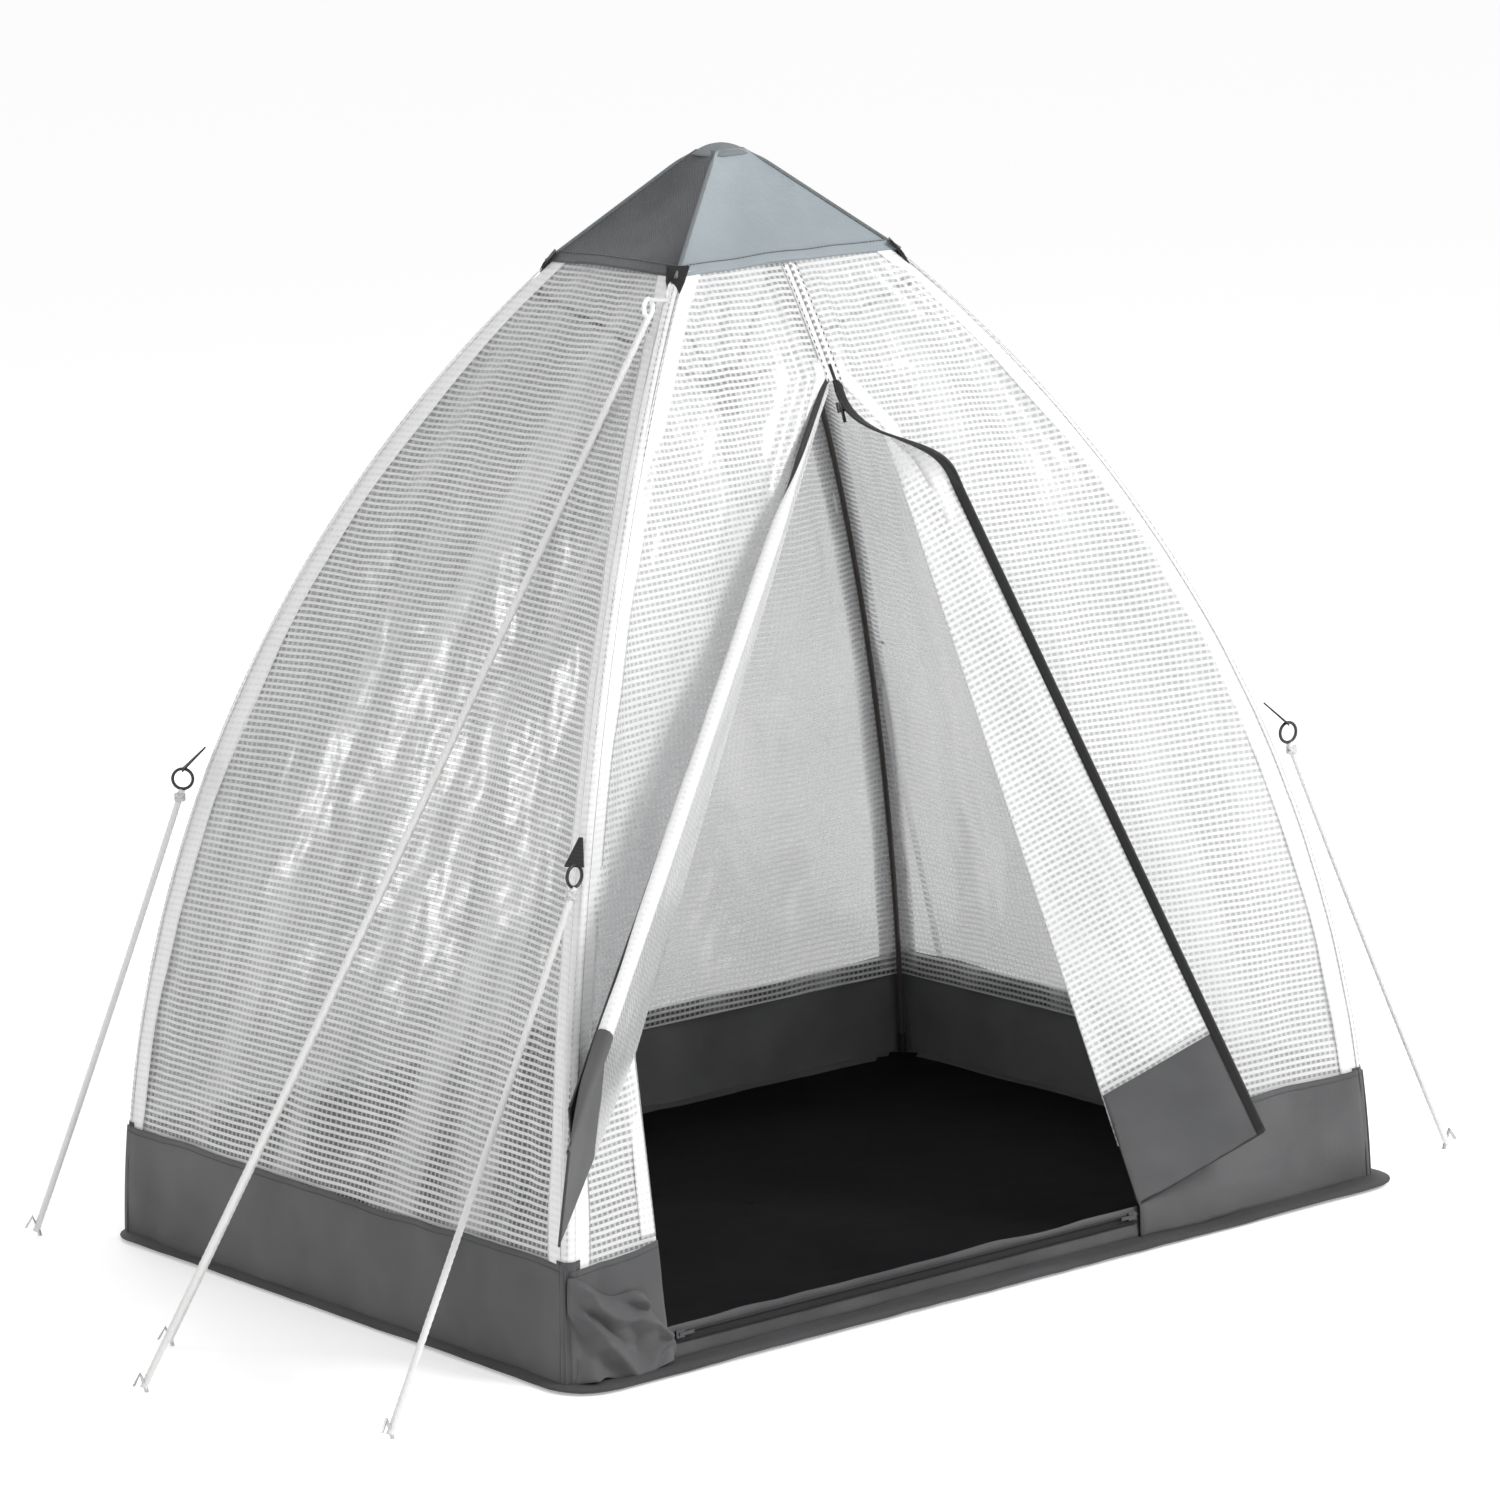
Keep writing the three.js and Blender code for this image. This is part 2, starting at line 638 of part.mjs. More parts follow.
// The rope stops short of the ring and of the peg, so that the three never share space.
function ropeBetween(top, end, away, topGap) {
  const foot = end.clone().addScaledVector(away, -10).add(at(0, 0, 8));
  const run = foot.clone().sub(top).normalize();
  return bar([top.clone().addScaledVector(run, topGap), foot], ropeRadius, 8, 4);
}

const ringRadius = 14;
for (const corner of corners) {
  const outward = ribPoint(corner, 1, 0).normalize();
  const r = ribRadius(ringHeight);
  const seat = ribPoint(corner, r, ringHeight).addScaledVector(outward, 34);
  const centre = seat.clone().addScaledVector(outward, ringRadius + 2).add(at(0, 0, -8));
  const torus = new THREE.TorusGeometry(ringRadius, 2.2, 6, 12);
  torus.rotateX(Math.PI / 2);
  torus.rotateZ(Math.atan2(corner.y * shareY, corner.x * shareX));
  torus.translate(centre.x, centre.y, centre.z);
  const turn = Math.atan2(corner.y * shareY, corner.x * shareX);
  const tab = new THREE.BoxGeometry(7, 30, 36);
  tab.rotateZ(turn);
  tab.translate(seat.x, seat.y, seat.z - 6);
  addPart(`guy_ring_${corner.name}`, join(torus, tab), finish(black, 0.5));
  const end = ropeEnds[corner.name];
  const flat = end.clone().sub(centre).setZ(0).normalize();
  addPart(`guy_rope_${corner.name}`, ropeBetween(centre, end, flat, ringRadius + 6),
    finish(0xf2f2f0, 0.7));
  addPart(`guy_peg_${corner.name}`, pegAt(end, flat), finish(0x9a9da0, 0.4, 0.8));
}

// ---- two lines from the front left corner of the cap ----
const hookPlace = at(-(halfX(capBottomHeight) + capOffset + 58), -(halfY(capBottomHeight) + 30),
  1402);
const hookRing = new THREE.TorusGeometry(13, 3.4, 6, 12);
hookRing.rotateX(Math.PI / 2);
hookRing.rotateZ(0.4);
hookRing.translate(hookPlace.x, hookPlace.y, hookPlace.z);
addPart('top_hook', hookRing, finish(0xf0f0ee, 0.5));
const topEnds = [at(-1190, -140, 0), at(-1040, 20, 0)];
topEnds.forEach((end, i) => {
  const flat = end.clone().sub(hookPlace).setZ(0).normalize();
  const start = hookPlace.clone().add(at(i ? 5 : -5, i ? 5 : -3, -4));
  addPart(`top_rope_${i + 1}`, ropeBetween(start, end, flat, 18), finish(0xf2f2f0, 0.7));
  addPart(`top_peg_${i + 1}`, pegAt(end, flat), finish(0x9a9da0, 0.4, 0.8));
});

export default group;
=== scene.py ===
"""The looks of a mini pop-up greenhouse, built round its CAD frame. Lengths are in metres."""

from math import cos, exp, hypot, pi, radians, sin, sqrt

import bpy
import numpy as np
from mathutils import Matrix, Vector, noise


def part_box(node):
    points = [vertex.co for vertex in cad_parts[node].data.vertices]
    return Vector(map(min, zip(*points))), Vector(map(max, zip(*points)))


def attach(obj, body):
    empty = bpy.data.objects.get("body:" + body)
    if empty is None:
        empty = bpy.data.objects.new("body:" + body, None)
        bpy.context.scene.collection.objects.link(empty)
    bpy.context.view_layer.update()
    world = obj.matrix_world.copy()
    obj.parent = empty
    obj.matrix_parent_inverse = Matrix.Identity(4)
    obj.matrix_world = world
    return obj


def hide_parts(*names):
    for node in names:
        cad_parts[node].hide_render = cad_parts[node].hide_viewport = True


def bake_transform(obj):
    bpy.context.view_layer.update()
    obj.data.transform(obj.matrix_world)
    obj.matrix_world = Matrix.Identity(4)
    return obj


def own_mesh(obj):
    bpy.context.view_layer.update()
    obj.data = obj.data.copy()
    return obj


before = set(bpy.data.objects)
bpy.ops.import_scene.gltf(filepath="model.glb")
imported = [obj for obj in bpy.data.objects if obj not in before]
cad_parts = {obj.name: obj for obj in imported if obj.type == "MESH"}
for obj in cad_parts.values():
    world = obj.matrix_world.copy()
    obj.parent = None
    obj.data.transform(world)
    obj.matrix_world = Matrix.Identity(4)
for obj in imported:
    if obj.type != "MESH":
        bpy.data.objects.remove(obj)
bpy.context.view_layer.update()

# ---- driving dimensions, the same as the frame's ----
WIDTH, DEPTH = 1.500, 1.060
FOOT_Z = 0.0025
CORNER_R, CORNER_Z = 0.227, 1.445
RIB_BOW = 0.171
OUTER = 0.0122
WALL_EDGE = 0.0106
WALL_SAG = 0.060
SKIRT_TOP = 0.170
WALL_TOP = 1.444
CAP_LOW, CAP_TOP = 1.436, 1.592
CAP_TOP_HALF = (0.027, 0.023)
CAP_REACH = 0.0145
DOOR_TOP, SILL = 1.285, 0.050
DOOR_SIDE = (-0.560, 0.420)
DOOR_LEFT, DOOR_RIGHT = -0.590, 0.290
RIGHT_HINGE_TOP = 0.059
RIGHT_SHOULDER = 1.200
ZIP_FOOT = 0.070
LEAF_FOLDS = (-0.417, -0.168)
LEAF_TURNS = (132, 177, 177)
RIGHT_TURN = 150
HINGE_LIFT = 0.001
SHEET = 0.0012
RING_HEIGHT = 0.700
GROUND_HALF = (0.820, 0.600)
GROUND_CORNER = 0.070
CORDS = {"fl": (-1.070, -0.550), "fr": (0.970, -0.500), "bl": (-0.860, 0.640), "br": (0.940, 0.620)}
CORNERS = {"fl": (-1, -1), "fr": (1, -1), "bl": (-1, 1), "br": (1, 1)}
HOOK_ENDS = {"top_rope_1": (-1.190, -0.140), "top_rope_2": (-1.040, 0.020)}

FULL_TURN = 2 * pi

# ---- the ribs' curve ----
FOOT_R = hypot(WIDTH, DEPTH) / 2
SHARE_X, SHARE_Y = WIDTH / 2 / FOOT_R, DEPTH / 2 / FOOT_R
RIB_OUT = {corner: Vector((sx * SHARE_X, sy * SHARE_Y, 0)) for corner, (sx, sy) in CORNERS.items()}
CHORD_R, CHORD_Z = FOOT_R - CORNER_R, CORNER_Z - FOOT_Z
CHORD = hypot(CHORD_R, CHORD_Z)
BOW_R = CHORD ** 2 / (8 * RIB_BOW) + RIB_BOW / 2
BOW_X = (FOOT_R + CORNER_R) / 2 - CHORD_Z / CHORD * (BOW_R - RIB_BOW)
BOW_Z = (FOOT_Z + CORNER_Z) / 2 - CHORD_R / CHORD * (BOW_R - RIB_BOW)


def rib_radius(z):
    return BOW_X + sqrt(BOW_R ** 2 - (z - BOW_Z) ** 2)


def half_x(z):
    return rib_radius(z) * SHARE_X


def half_y(z):
    return rib_radius(z) * SHARE_Y


def lerp(a, b, t):
    return a + (b - a) * t


def along(x1, z1, x2, z2, z):
    return x1 + (x2 - x1) * (z - z1) / (z2 - z1)


def smooth(t):
    t = min(1.0, max(0.0, t))
    return t * t * (3 - 2 * t)


ARC_Z = np.linspace(0, 1.6, 321)


def arc_table(half):
    """How far it is up the cloth to each height, so that the weave isn't stretched on a slope."""
    depth = np.array([half(z) for z in np.minimum(ARC_Z, WALL_TOP)])
    steps = np.hypot(np.diff(depth), np.diff(ARC_Z))
    return np.concatenate([[0], np.cumsum(steps)])


ARC_Y, ARC_X = arc_table(half_y), arc_table(half_x)


def up_front(z):
    return float(np.interp(z, ARC_Z, ARC_Y))


def up_side(z):
    return float(np.interp(z, ARC_Z, ARC_X))


def ruffle(seed, x, y, z=0.0):
    """Smooth noise between about -1 and 1, another pattern for each seed."""
    return noise.noise(Vector((x, y, z)) + Vector((seed * 7.3, seed * 3.1, 5.7)))


# ---- meshes ----
def mesh_object(name, points, faces, uvs, material, shade=True):
    """uvs holds one pair for each point."""
    mesh = bpy.data.meshes.new(name)
    mesh.from_pydata([tuple(p) for p in points], [], faces)
    layer = mesh.uv_layers.new(name="UVMap")
    corners = np.zeros(len(mesh.loops), dtype=np.int32)
    mesh.loops.foreach_get("vertex_index", corners)
    layer.data.foreach_set("uv", np.array(uvs, dtype=np.float32)[corners].ravel())
    mesh.materials.append(material)
    if shade:
        mesh.polygons.foreach_set("use_smooth", [True] * len(mesh.polygons))
    obj = bpy.data.objects.new(name, mesh)
    bpy.context.scene.collection.objects.link(obj)
    return obj


def grid_faces(rows, columns):
    faces = []
    for i in range(rows - 1):
        for j in range(columns - 1):
            a = i * columns + j
            faces.append((a, a + 1, a + 1 + columns, a + columns))
    return faces


def thicken(obj, thickness, offset=0):
    solid = obj.modifiers.new("thickness", "SOLIDIFY")
    solid.thickness = thickness
    solid.offset = offset


def grid(levels, shares, place):
    """Rows for a sheet, where place(level, share) gives a point and its UV."""
    return [[place(level, share) for share in shares] for level in levels]


def sheet(name, rows, material, thickness=0.0):
    """A cloth piece from rows of points with their UVs. A thickness makes it a closed body."""
    points, uvs = zip(*(pair for row in rows for pair in row))
    obj = mesh_object(name, points, grid_faces(len(rows), len(rows[0])), uvs, material)
    if thickness:
        thicken(obj, thickness)
    return obj


def frames_along(path):
    """A pair of directions square to the path at each of its points, turning as little as they can."""
    tangents = []
    for i in range(len(path)):
        before, after = path[max(i - 1, 0)], path[min(i + 1, len(path) - 1)]
        tangents.append((after - before).normalized())
    side = tangents[0].orthogonal().normalized()
    pairs = []
    for tangent in tangents:
        side = (side - tangent * side.dot(tangent)).normalized()
        pairs.append((side, tangent.cross(side)))
    return pairs


def reach_along(path):
    """How far it is along the path to each of its points."""
    return np.concatenate([[0], np.cumsum([(b - a).length for a, b in zip(path, path[1:])])])


def tube(name, path, radius, material, sides=12, closed=False):
    """A round cord, pole or bead. radius is a number, or a function of the distance along it and the turn."""
    path = path + path[:1] if closed else path
    points, uvs = [], []
    for p, (u, v), s in zip(path, frames_along(path), reach_along(path)):
        for k in range(sides + 1):
            turn = FULL_TURN * k / sides
            r = radius(s, turn) if callable(radius) else radius
            points.append(p + u * (cos(turn) * r) + v * (sin(turn) * r))
            uvs.append((k / sides, s))
    faces = grid_faces(len(path), sides + 1)
    if not closed:
        faces.append(tuple(reversed(range(sides))))
        last = (len(path) - 1) * (sides + 1)
        faces.append(tuple(last + k for k in range(sides)))
    return mesh_object(name, points, faces, uvs, material)


def lay(path, count):
    """The path with evenly spaced points, count of them."""
    reach = reach_along(path)
    want = np.linspace(0, reach[-1], count)
    return [Vector(p) for p in np.transpose([np.interp(want, reach, axis) for axis in zip(*path)])]


STRANDS, LAY_LENGTH, LAY_STEP = 3, 0.030, 0.0030
CORD_RADIUS = 0.0052


def strand_radius(reach, turn):
    wound = turn + FULL_TURN * reach / LAY_LENGTH
    return CORD_RADIUS * (0.80 + 0.20 * abs(cos(STRANDS / 2 * wound)))


def laid_cord(name, path):
    """A cord of three strands that wind round each other."""
    return tube(name, lay(path, int(reach_along(path)[-1] / LAY_STEP)), strand_radius, CORD, sides=18)


def stitches(name, path, material, pitch=0.0070, length=0.0045, radius=0.00055):
    """A row of stitches laid along a path, as one mesh of small beads of thread."""
    dots = lay(path, max(4, int(reach_along(path)[-1] / pitch) * 2))
    points, uvs, faces = [], [], []
    for a, b in zip(dots[::2], dots[1::2]):
        along_it = (b - a).normalized()
        u = along_it.orthogonal().normalized()
        v = along_it.cross(u)
        start = len(points)
        for end in (a, a + along_it * length):
            for k in range(6):
                turn = FULL_TURN * k / 6
                points.append(end + u * (cos(turn) * radius) + v * (sin(turn) * radius))
                uvs.append((k / 6, 0.0))
        faces += [(start + k, start + (k + 1) % 6, start + 6 + (k + 1) % 6, start + 6 + k) for k in range(6)]
        faces.append(tuple(start + k for k in reversed(range(6))))
        faces.append(tuple(start + 6 + k for k in range(6)))
    return mesh_object(name, points, faces, uvs, material)


# ---- materials ----
class Look:
    """Builds one material's nodes with few words."""

    def __init__(self, name):
        self.material = bpy.data.materials.new(name)
        self.material.use_nodes = True
        self.tree = self.material.node_tree
        self.tree.nodes.clear()
        self.output = self.put("OutputMaterial")

    def put(self, kind, **inputs):
        node = self.tree.nodes.new("ShaderNode" + kind)
        for key, value in inputs.items():
            self.feed(node.inputs[key.replace("_", " ")], value)
        return node

    def feed(self, socket, value):
        if isinstance(value, bpy.types.NodeSocket):
            self.tree.links.new(value, socket)
        else:
            socket.default_value = value

    def math(self, operation, a, b=0.0):
        node = self.put("Math")
        node.operation = operation
        self.feed(node.inputs[0], a)
        self.feed(node.inputs[1], b)
        return node.outputs[0]

    def times(self, a, b):
        return self.math("MULTIPLY", a, b)

    def plus(self, a, b):
        return self.math("ADD", a, b)

    def uv(self):
        split = self.put("SeparateXYZ", Vector=self.put("UVMap").outputs[0])
        return split.outputs[0], split.outputs[1]

    def noise(self, scale, detail=2.0, place=None):
        place = place or self.put("TexCoord").outputs["Object"]
        return self.put("TexNoise", Scale=scale, Detail=detail, Vector=place).outputs["Fac"]

    def ramp(self, value, low, high, out_low=0.0, out_high=1.0):
        node = self.put("MapRange", Value=value, From_Min=low, From_Max=high,
                        To_Min=out_low, To_Max=out_high)
        node.interpolation_type = "SMOOTHSTEP"
        return node.outputs[0]

    def color(self, factor, dark, light):
        node = self.put("Mix")
        node.data_type = "RGBA"
        self.feed(node.inputs["Factor"], factor)
        self.feed(node.inputs[6], (*dark, 1))
        self.feed(node.inputs[7], (*light, 1))
        return node.outputs[2]

    def bump(self, height, distance, strength=1.0):
        return self.put("Bump", Height=height, Distance=distance, Strength=strength).outputs[0]

    def mix(self, factor, a, b):
        node = self.put("MixShader", Fac=factor)
        self.feed(node.inputs[1], a)
        self.feed(node.inputs[2], b)
        return node.outputs[0]

    def done(self, shader):
        self.tree.links.new(shader, self.output.inputs[0])
        return self.material


def stripe(look, coordinate, pitch, cover, soft=0.08):
    """1 on a thread and 0 in the gap beside it, for threads a pitch apart that cover a share of it."""
    phase = look.math("FRACT", look.math("DIVIDE", coordinate, pitch))
    away = look.times(look.math("ABSOLUTE", look.math("SUBTRACT", phase, 0.5)), 2.0)
    return look.ramp(away, cover + soft, cover - soft)


NET_PITCH = (0.0100, 0.0098)


def foil_look(name, clear, tint, cover=(0.40, 0.52), body=0.05, shade=0.80, upright=0.58, painted_fold_streaks=0.0):
    """Clear film with a net of white tapes, the level ones broader, and lighter streaks in the film: painted
    light that stands in for long folds.
    """
    look = Look(name)
    u, v = look.uv()
    wave = look.times(look.math("SUBTRACT", look.noise(5.0), 0.5), 0.010)
    across = look.times(stripe(look, look.plus(u, wave), NET_PITCH[0], cover[0]), upright)
    level = stripe(look, look.plus(v, wave), NET_PITCH[1], cover[1])
    tape = look.math("MAXIMUM", across, level)
    crinkle = look.plus(look.noise(38.0, 4.0), look.times(look.noise(9.0, 3.0), 1.4))
    height = look.plus(look.times(tape, 0.30), crinkle)
    normal = look.bump(height, 0.0014, 0.75)
    white = look.color(look.noise(3.0, 3.0), tint, (0.985, 0.985, 0.985))
    matte = look.put("BsdfDiffuse", Color=white, Normal=normal).outputs[0]
    glow = look.put("BsdfTranslucent", Color=white, Normal=normal).outputs[0]
    through = look.put("BsdfTransparent", Color=(shade, shade * 1.01, shade * 1.02, 1)).outputs[0]
    gloss = look.put("BsdfGlossy", Color=(1, 1, 1, 1), Roughness=0.24, Normal=normal).outputs[0]
    thread = look.mix(body, look.mix(0.36, matte, glow), through)
    slant = look.plus(u, look.times(v, 0.22))
    place = look.put("CombineXYZ", X=look.times(slant, 9.0), Y=look.times(v, 1.3)).outputs[0]
    # painted light: lighter streaks of film, not following the creases, that stand in for long folds
    fold_light_streak = look.ramp(look.noise(1.0, 3.0, place), 0.46, 0.66)
    veil = look.math("SUBTRACT", clear, look.times(fold_light_streak, painted_fold_streaks))
    film = look.mix(veil, look.mix(0.5, matte, glow), through)
    inside = look.put("NewGeometry").outputs["Backfacing"]
    strength = look.math("SUBTRACT", 0.95, look.times(inside, 0.80))
    fresnel = look.put("Fresnel", IOR=1.45, Normal=normal).outputs[0]
    shine = look.times(fresnel, strength)
    return look.done(look.mix(shine, look.mix(tape, film, thread), gloss))


def woven_look(name, dark, light, pitch=0.0016, rough=0.8, sheer=0.0, fade=3.0, shine=0.25, sheen=0.12):
    """A plain woven cloth: fine threads both ways, and large soft changes of shade."""
    look = Look(name)
    u, v = look.uv()
    across = look.math("SINE", look.times(u, FULL_TURN / pitch))
    level = look.math("SINE", look.times(v, FULL_TURN / pitch))
    weave = look.times(across, level)
    shade = look.plus(look.noise(fade, 3.0), look.times(weave, 0.12))
    grain = look.plus(weave, look.times(look.noise(90.0, 3.0), 1.5))
    shader = look.put("BsdfPrincipled", Roughness=rough, Specular_IOR_Level=shine,
                      Sheen_Weight=sheen, Normal=look.bump(grain, 0.0006, 0.8),
                      Base_Color=look.color(look.ramp(shade, 0.25, 0.75), dark, light)).outputs[0]
    if sheer:
        hole = look.times(look.ramp(weave, 0.45, 0.85), sheer)
        through = look.put("BsdfTransparent").outputs[0]
        shader = look.mix(hole, shader, through)
    return look.done(shader)


def solid_look(name, color, rough=0.45, metal=0.0, grain=0.0, scale=60.0, coat=0.0):
    look = Look(name)
    shade = look.noise(scale, 3.0)
    darker = tuple(c * 0.82 for c in color)
    base = look.put("BsdfPrincipled", Metallic=metal, Coat_Weight=coat,
                    Base_Color=look.color(shade, darker, color),
                    Roughness=look.ramp(shade, 0.2, 0.8, rough * 0.85, min(1.0, rough * 1.15)))
    if grain:
        look.feed(base.inputs["Normal"], look.bump(shade, grain))
    return look.done(base.outputs[0])


def cord_look(name, color, pitch=0.0012, turns=14.0):
    """The fine yarns of a cord's strands, winding the other way round, with painted shade in the grooves
    between them.
    """
    look = Look(name)
    u, v = look.uv()
    angle = look.math("SUBTRACT", look.times(u, turns), look.math("DIVIDE", v, pitch * turns))
    yarn = look.math("SINE", look.times(angle, FULL_TURN))
    height = look.plus(yarn, look.noise(700.0, 2.0))
    # painted shade: the grooves between the yarns are darker
    groove_shaded_tone = look.color(look.ramp(yarn, -1.0, 0.3), tuple(c * 0.86 for c in color), color)
    base = look.put("BsdfPrincipled", Base_Color=groove_shaded_tone, Roughness=0.75,
                    Normal=look.bump(height, 0.0005))
    return look.done(base.outputs[0])


def zip_look(name, color, pitch=0.0022, shine=0.35):
    """A coil of a zip: even bars across it, with painted shade darkening the gaps between them."""
    look = Look(name)
    _, v = look.uv()
    bar = look.math("SINE", look.times(v, FULL_TURN / pitch))
    # painted shade: the gaps between the coil's turns are darker
    groove_shaded_tone = look.color(look.ramp(bar, -0.6, 0.6), tuple(c * 0.35 for c in color), color)
    base = look.put("BsdfPrincipled", Base_Color=groove_shaded_tone, Roughness=shine,
                    Normal=look.bump(bar, 0.0010))
    return look.done(base.outputs[0])


FOIL = foil_look("foil", clear=0.60, tint=(0.78, 0.785, 0.79), shade=0.76, painted_fold_streaks=0.25)
# painted shade: the back and side walls' foil is the front's foil with darker threads and a darker
# see-through tint
FOIL_SIDE_SHADED = foil_look("foil_side_painted_shade", cover=(0.38, 0.46), clear=0.86, tint=(0.66, 0.665, 0.67), shade=0.42,
                      upright=0.40, painted_fold_streaks=0.42)
SLEEVE = foil_look("foil_doubled", cover=(0.55, 0.60), clear=0.06, tint=(0.97, 0.97, 0.97), body=0.0)
HEM = foil_look("foil_hem", cover=(0.50, 0.58), clear=0.16, tint=(0.96, 0.96, 0.96), body=0.02)
CAP = woven_look("cap_cloth", (0.285, 0.325, 0.348), (0.365, 0.410, 0.435), pitch=0.0026, sheer=0.06,
                 fade=5.0)
# The left and right gores: a real see-through mesh, but their far darker colour than the front and back gores
# is painted shade
CAP_MESH_SHADED = woven_look("cap_mesh_painted_shade", (0.060, 0.062, 0.066), (0.115, 0.118, 0.124), pitch=0.0042, sheer=0.45,
                      fade=5.0)
CAP_EDGE = woven_look("cap_edging", (0.20, 0.222, 0.236), (0.265, 0.292, 0.310), pitch=0.0012)
SKIRT = woven_look("skirt_cloth", (0.080, 0.081, 0.084), (0.148, 0.149, 0.153), pitch=0.0013, rough=0.62,
                   fade=4.5)
# The ground sheet inside the tent: the same black cloth as its flap, painted much darker as shade under the
# tent
GROUND_SHADED = woven_look("ground_cloth", (0.004, 0.004, 0.005), (0.009, 0.009, 0.010), pitch=0.0018, rough=0.6,
                    shine=0.04, sheen=0.0)
FLAP = woven_look("ground_flap_cloth", (0.048, 0.048, 0.051), (0.074, 0.074, 0.078), pitch=0.0015, rough=0.6)
WEBBING = woven_look("webbing", (0.010, 0.010, 0.011), (0.024, 0.024, 0.026), pitch=0.0022, rough=0.7)
TAPE = woven_look("zip_tape", (0.008, 0.008, 0.009), (0.018, 0.018, 0.020), pitch=0.0011, rough=0.75)
COIL = zip_look("zip_coil", (0.065, 0.065, 0.068))
PALE_COIL = zip_look("seam_ridge", (0.80, 0.81, 0.82), pitch=0.0100, shine=0.6)
CORD = cord_look("cord", (0.95, 0.95, 0.94))
THREAD = solid_look("seam_thread", (0.80, 0.80, 0.80), 0.7)
DARK_THREAD = solid_look("seam_thread_dark", (0.055, 0.055, 0.057), 0.7)
NYLON = solid_look("black_nylon", (0.022, 0.022, 0.024), 0.38, grain=0.0004, scale=240.0)
POLE = solid_look("pole_fibreglass", (0.060, 0.052, 0.046), 0.34, scale=30.0, coat=0.3)
TUBE = solid_look("tube_alloy", (0.62, 0.63, 0.65), 0.32, metal=1.0, scale=90.0)
STEEL = solid_look("peg_steel", (0.55, 0.55, 0.56), 0.30, metal=1.0, scale=120.0)
HOOK = solid_look("hook_plastic", (0.82, 0.83, 0.84), 0.35, scale=80.0)
SLIDER = solid_look("slider_metal", (0.10, 0.10, 0.105), 0.28, metal=0.8, scale=200.0)


# ---- rigid CAD parts keep their shape and take a finish ----
FINISHES = {"pole": POLE, "strut": POLE, "centre_tube": TUBE, "peg": STEEL, "top_hook": HOOK,
            "slider": SLIDER}
EDGE_ROUND, EDGE_ANGLE = 0.0004, radians(50)

for node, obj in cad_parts.items():
    obj.data.materials.clear()
    obj.data.materials.append(next((look for word, look in FINISHES.items() if word in node), NYLON))
    edge = obj.modifiers.new("soft_edges", "BEVEL")
    edge.width, edge.segments = EDGE_ROUND, 2
    edge.limit_method, edge.angle_limit = "ANGLE", EDGE_ANGLE


# ---- walls of foil ----
def sag_at(z):
    if z <= SKIRT_TOP:
        return 0.0
    return WALL_SAG * sin(pi * (z - SKIRT_TOP) / (WALL_TOP - SKIRT_TOP))


DOOR_APEX = Vector((0, -(half_y(DOOR_TOP) + OUTER), DOOR_TOP))
DOOR_FOOT_Y = -(half_y(SILL) + OUTER)
DOOR_DOWN = Vector((0, DOOR_FOOT_Y, SILL)) - DOOR_APEX
DOOR_LENGTH = DOOR_DOWN.length
DOOR_DOWN.normalize()
DOOR_OUT = DOOR_DOWN.cross(Vector((1, 0, 0)))


def door_left_x(z):
    if z >= DOOR_SIDE[1]:
        return along(0, DOOR_TOP, *DOOR_SIDE, z)
    return along(*DOOR_SIDE, DOOR_LEFT, SILL, z)


def right_hinge_x(z):
    return along(RIGHT_HINGE_TOP, DOOR_TOP, DOOR_RIGHT, SILL, z)


def door_right_x(z):
    if z <= RIGHT_SHOULDER:
        return right_hinge_x(z)
    return along(0, DOOR_TOP, right_hinge_x(RIGHT_SHOULDER), RIGHT_SHOULDER, z)


def door_edge(edge_x, z):
    """The doorway's edge at a height. Above the doorway it is the front's middle line."""
    if z >= DOOR_TOP:
        return Vector((0, -(half_y(z) + OUTER), z))
    if z <= SILL:
        return Vector((edge_x(SILL), -(half_y(z) + OUTER), z))
    return Vector((edge_x(z), along(DOOR_APEX.y, DOOR_TOP, DOOR_FOOT_Y, SILL, z), z))


def wall_point(side, t, z):
    """A place on a wall. t runs from -1 to 1 across it; on the front it runs from rib to doorway and on."""
    hx, hy = half_x(z), half_y(z)
    if side == "front":
        sign = -1 if t < 0 else 1
        corner = Vector((sign * (hx + WALL_EDGE), -(hy + OUTER), z))
        edge = door_edge(door_left_x if t < 0 else door_right_x, z)
        return corner.lerp(edge, 1 - abs(t))
    sag = sag_at(z) * (1 - t * t)
    if side == "back":
        return Vector((t * (hx + WALL_EDGE), hy + OUTER - sag, z))
    return Vector((OUTWARD[side].x * (hx + OUTER - sag), t * (hy + OUTER), z))


UP = Vector((0, 0, 1))
OUTWARD = {"front": Vector((0, -1, 0)), "back": Vector((0, 1, 0)),
           "left": Vector((-1, 0, 0)), "right": Vector((1, 0, 0))}
SEED = {"front": 1, "back": 2, "left": 3, "right": 4}


def run_of(side, p):
    """How far a point is along its wall."""
    return p.x if side in ("front", "back") else p.y


def wall_normal(side, t, z):
    step = 0.004
    other = t - step if abs(t) > step * 2 else t + 2 * step
    across = wall_point(side, t + step, z) - wall_point(side, other, z)
    up = wall_point(side, t, z + step) - wall_point(side, t, z - step)
    normal = across.cross(up).normalized()
    return normal if normal.dot(OUTWARD[side]) > 0 else -normal


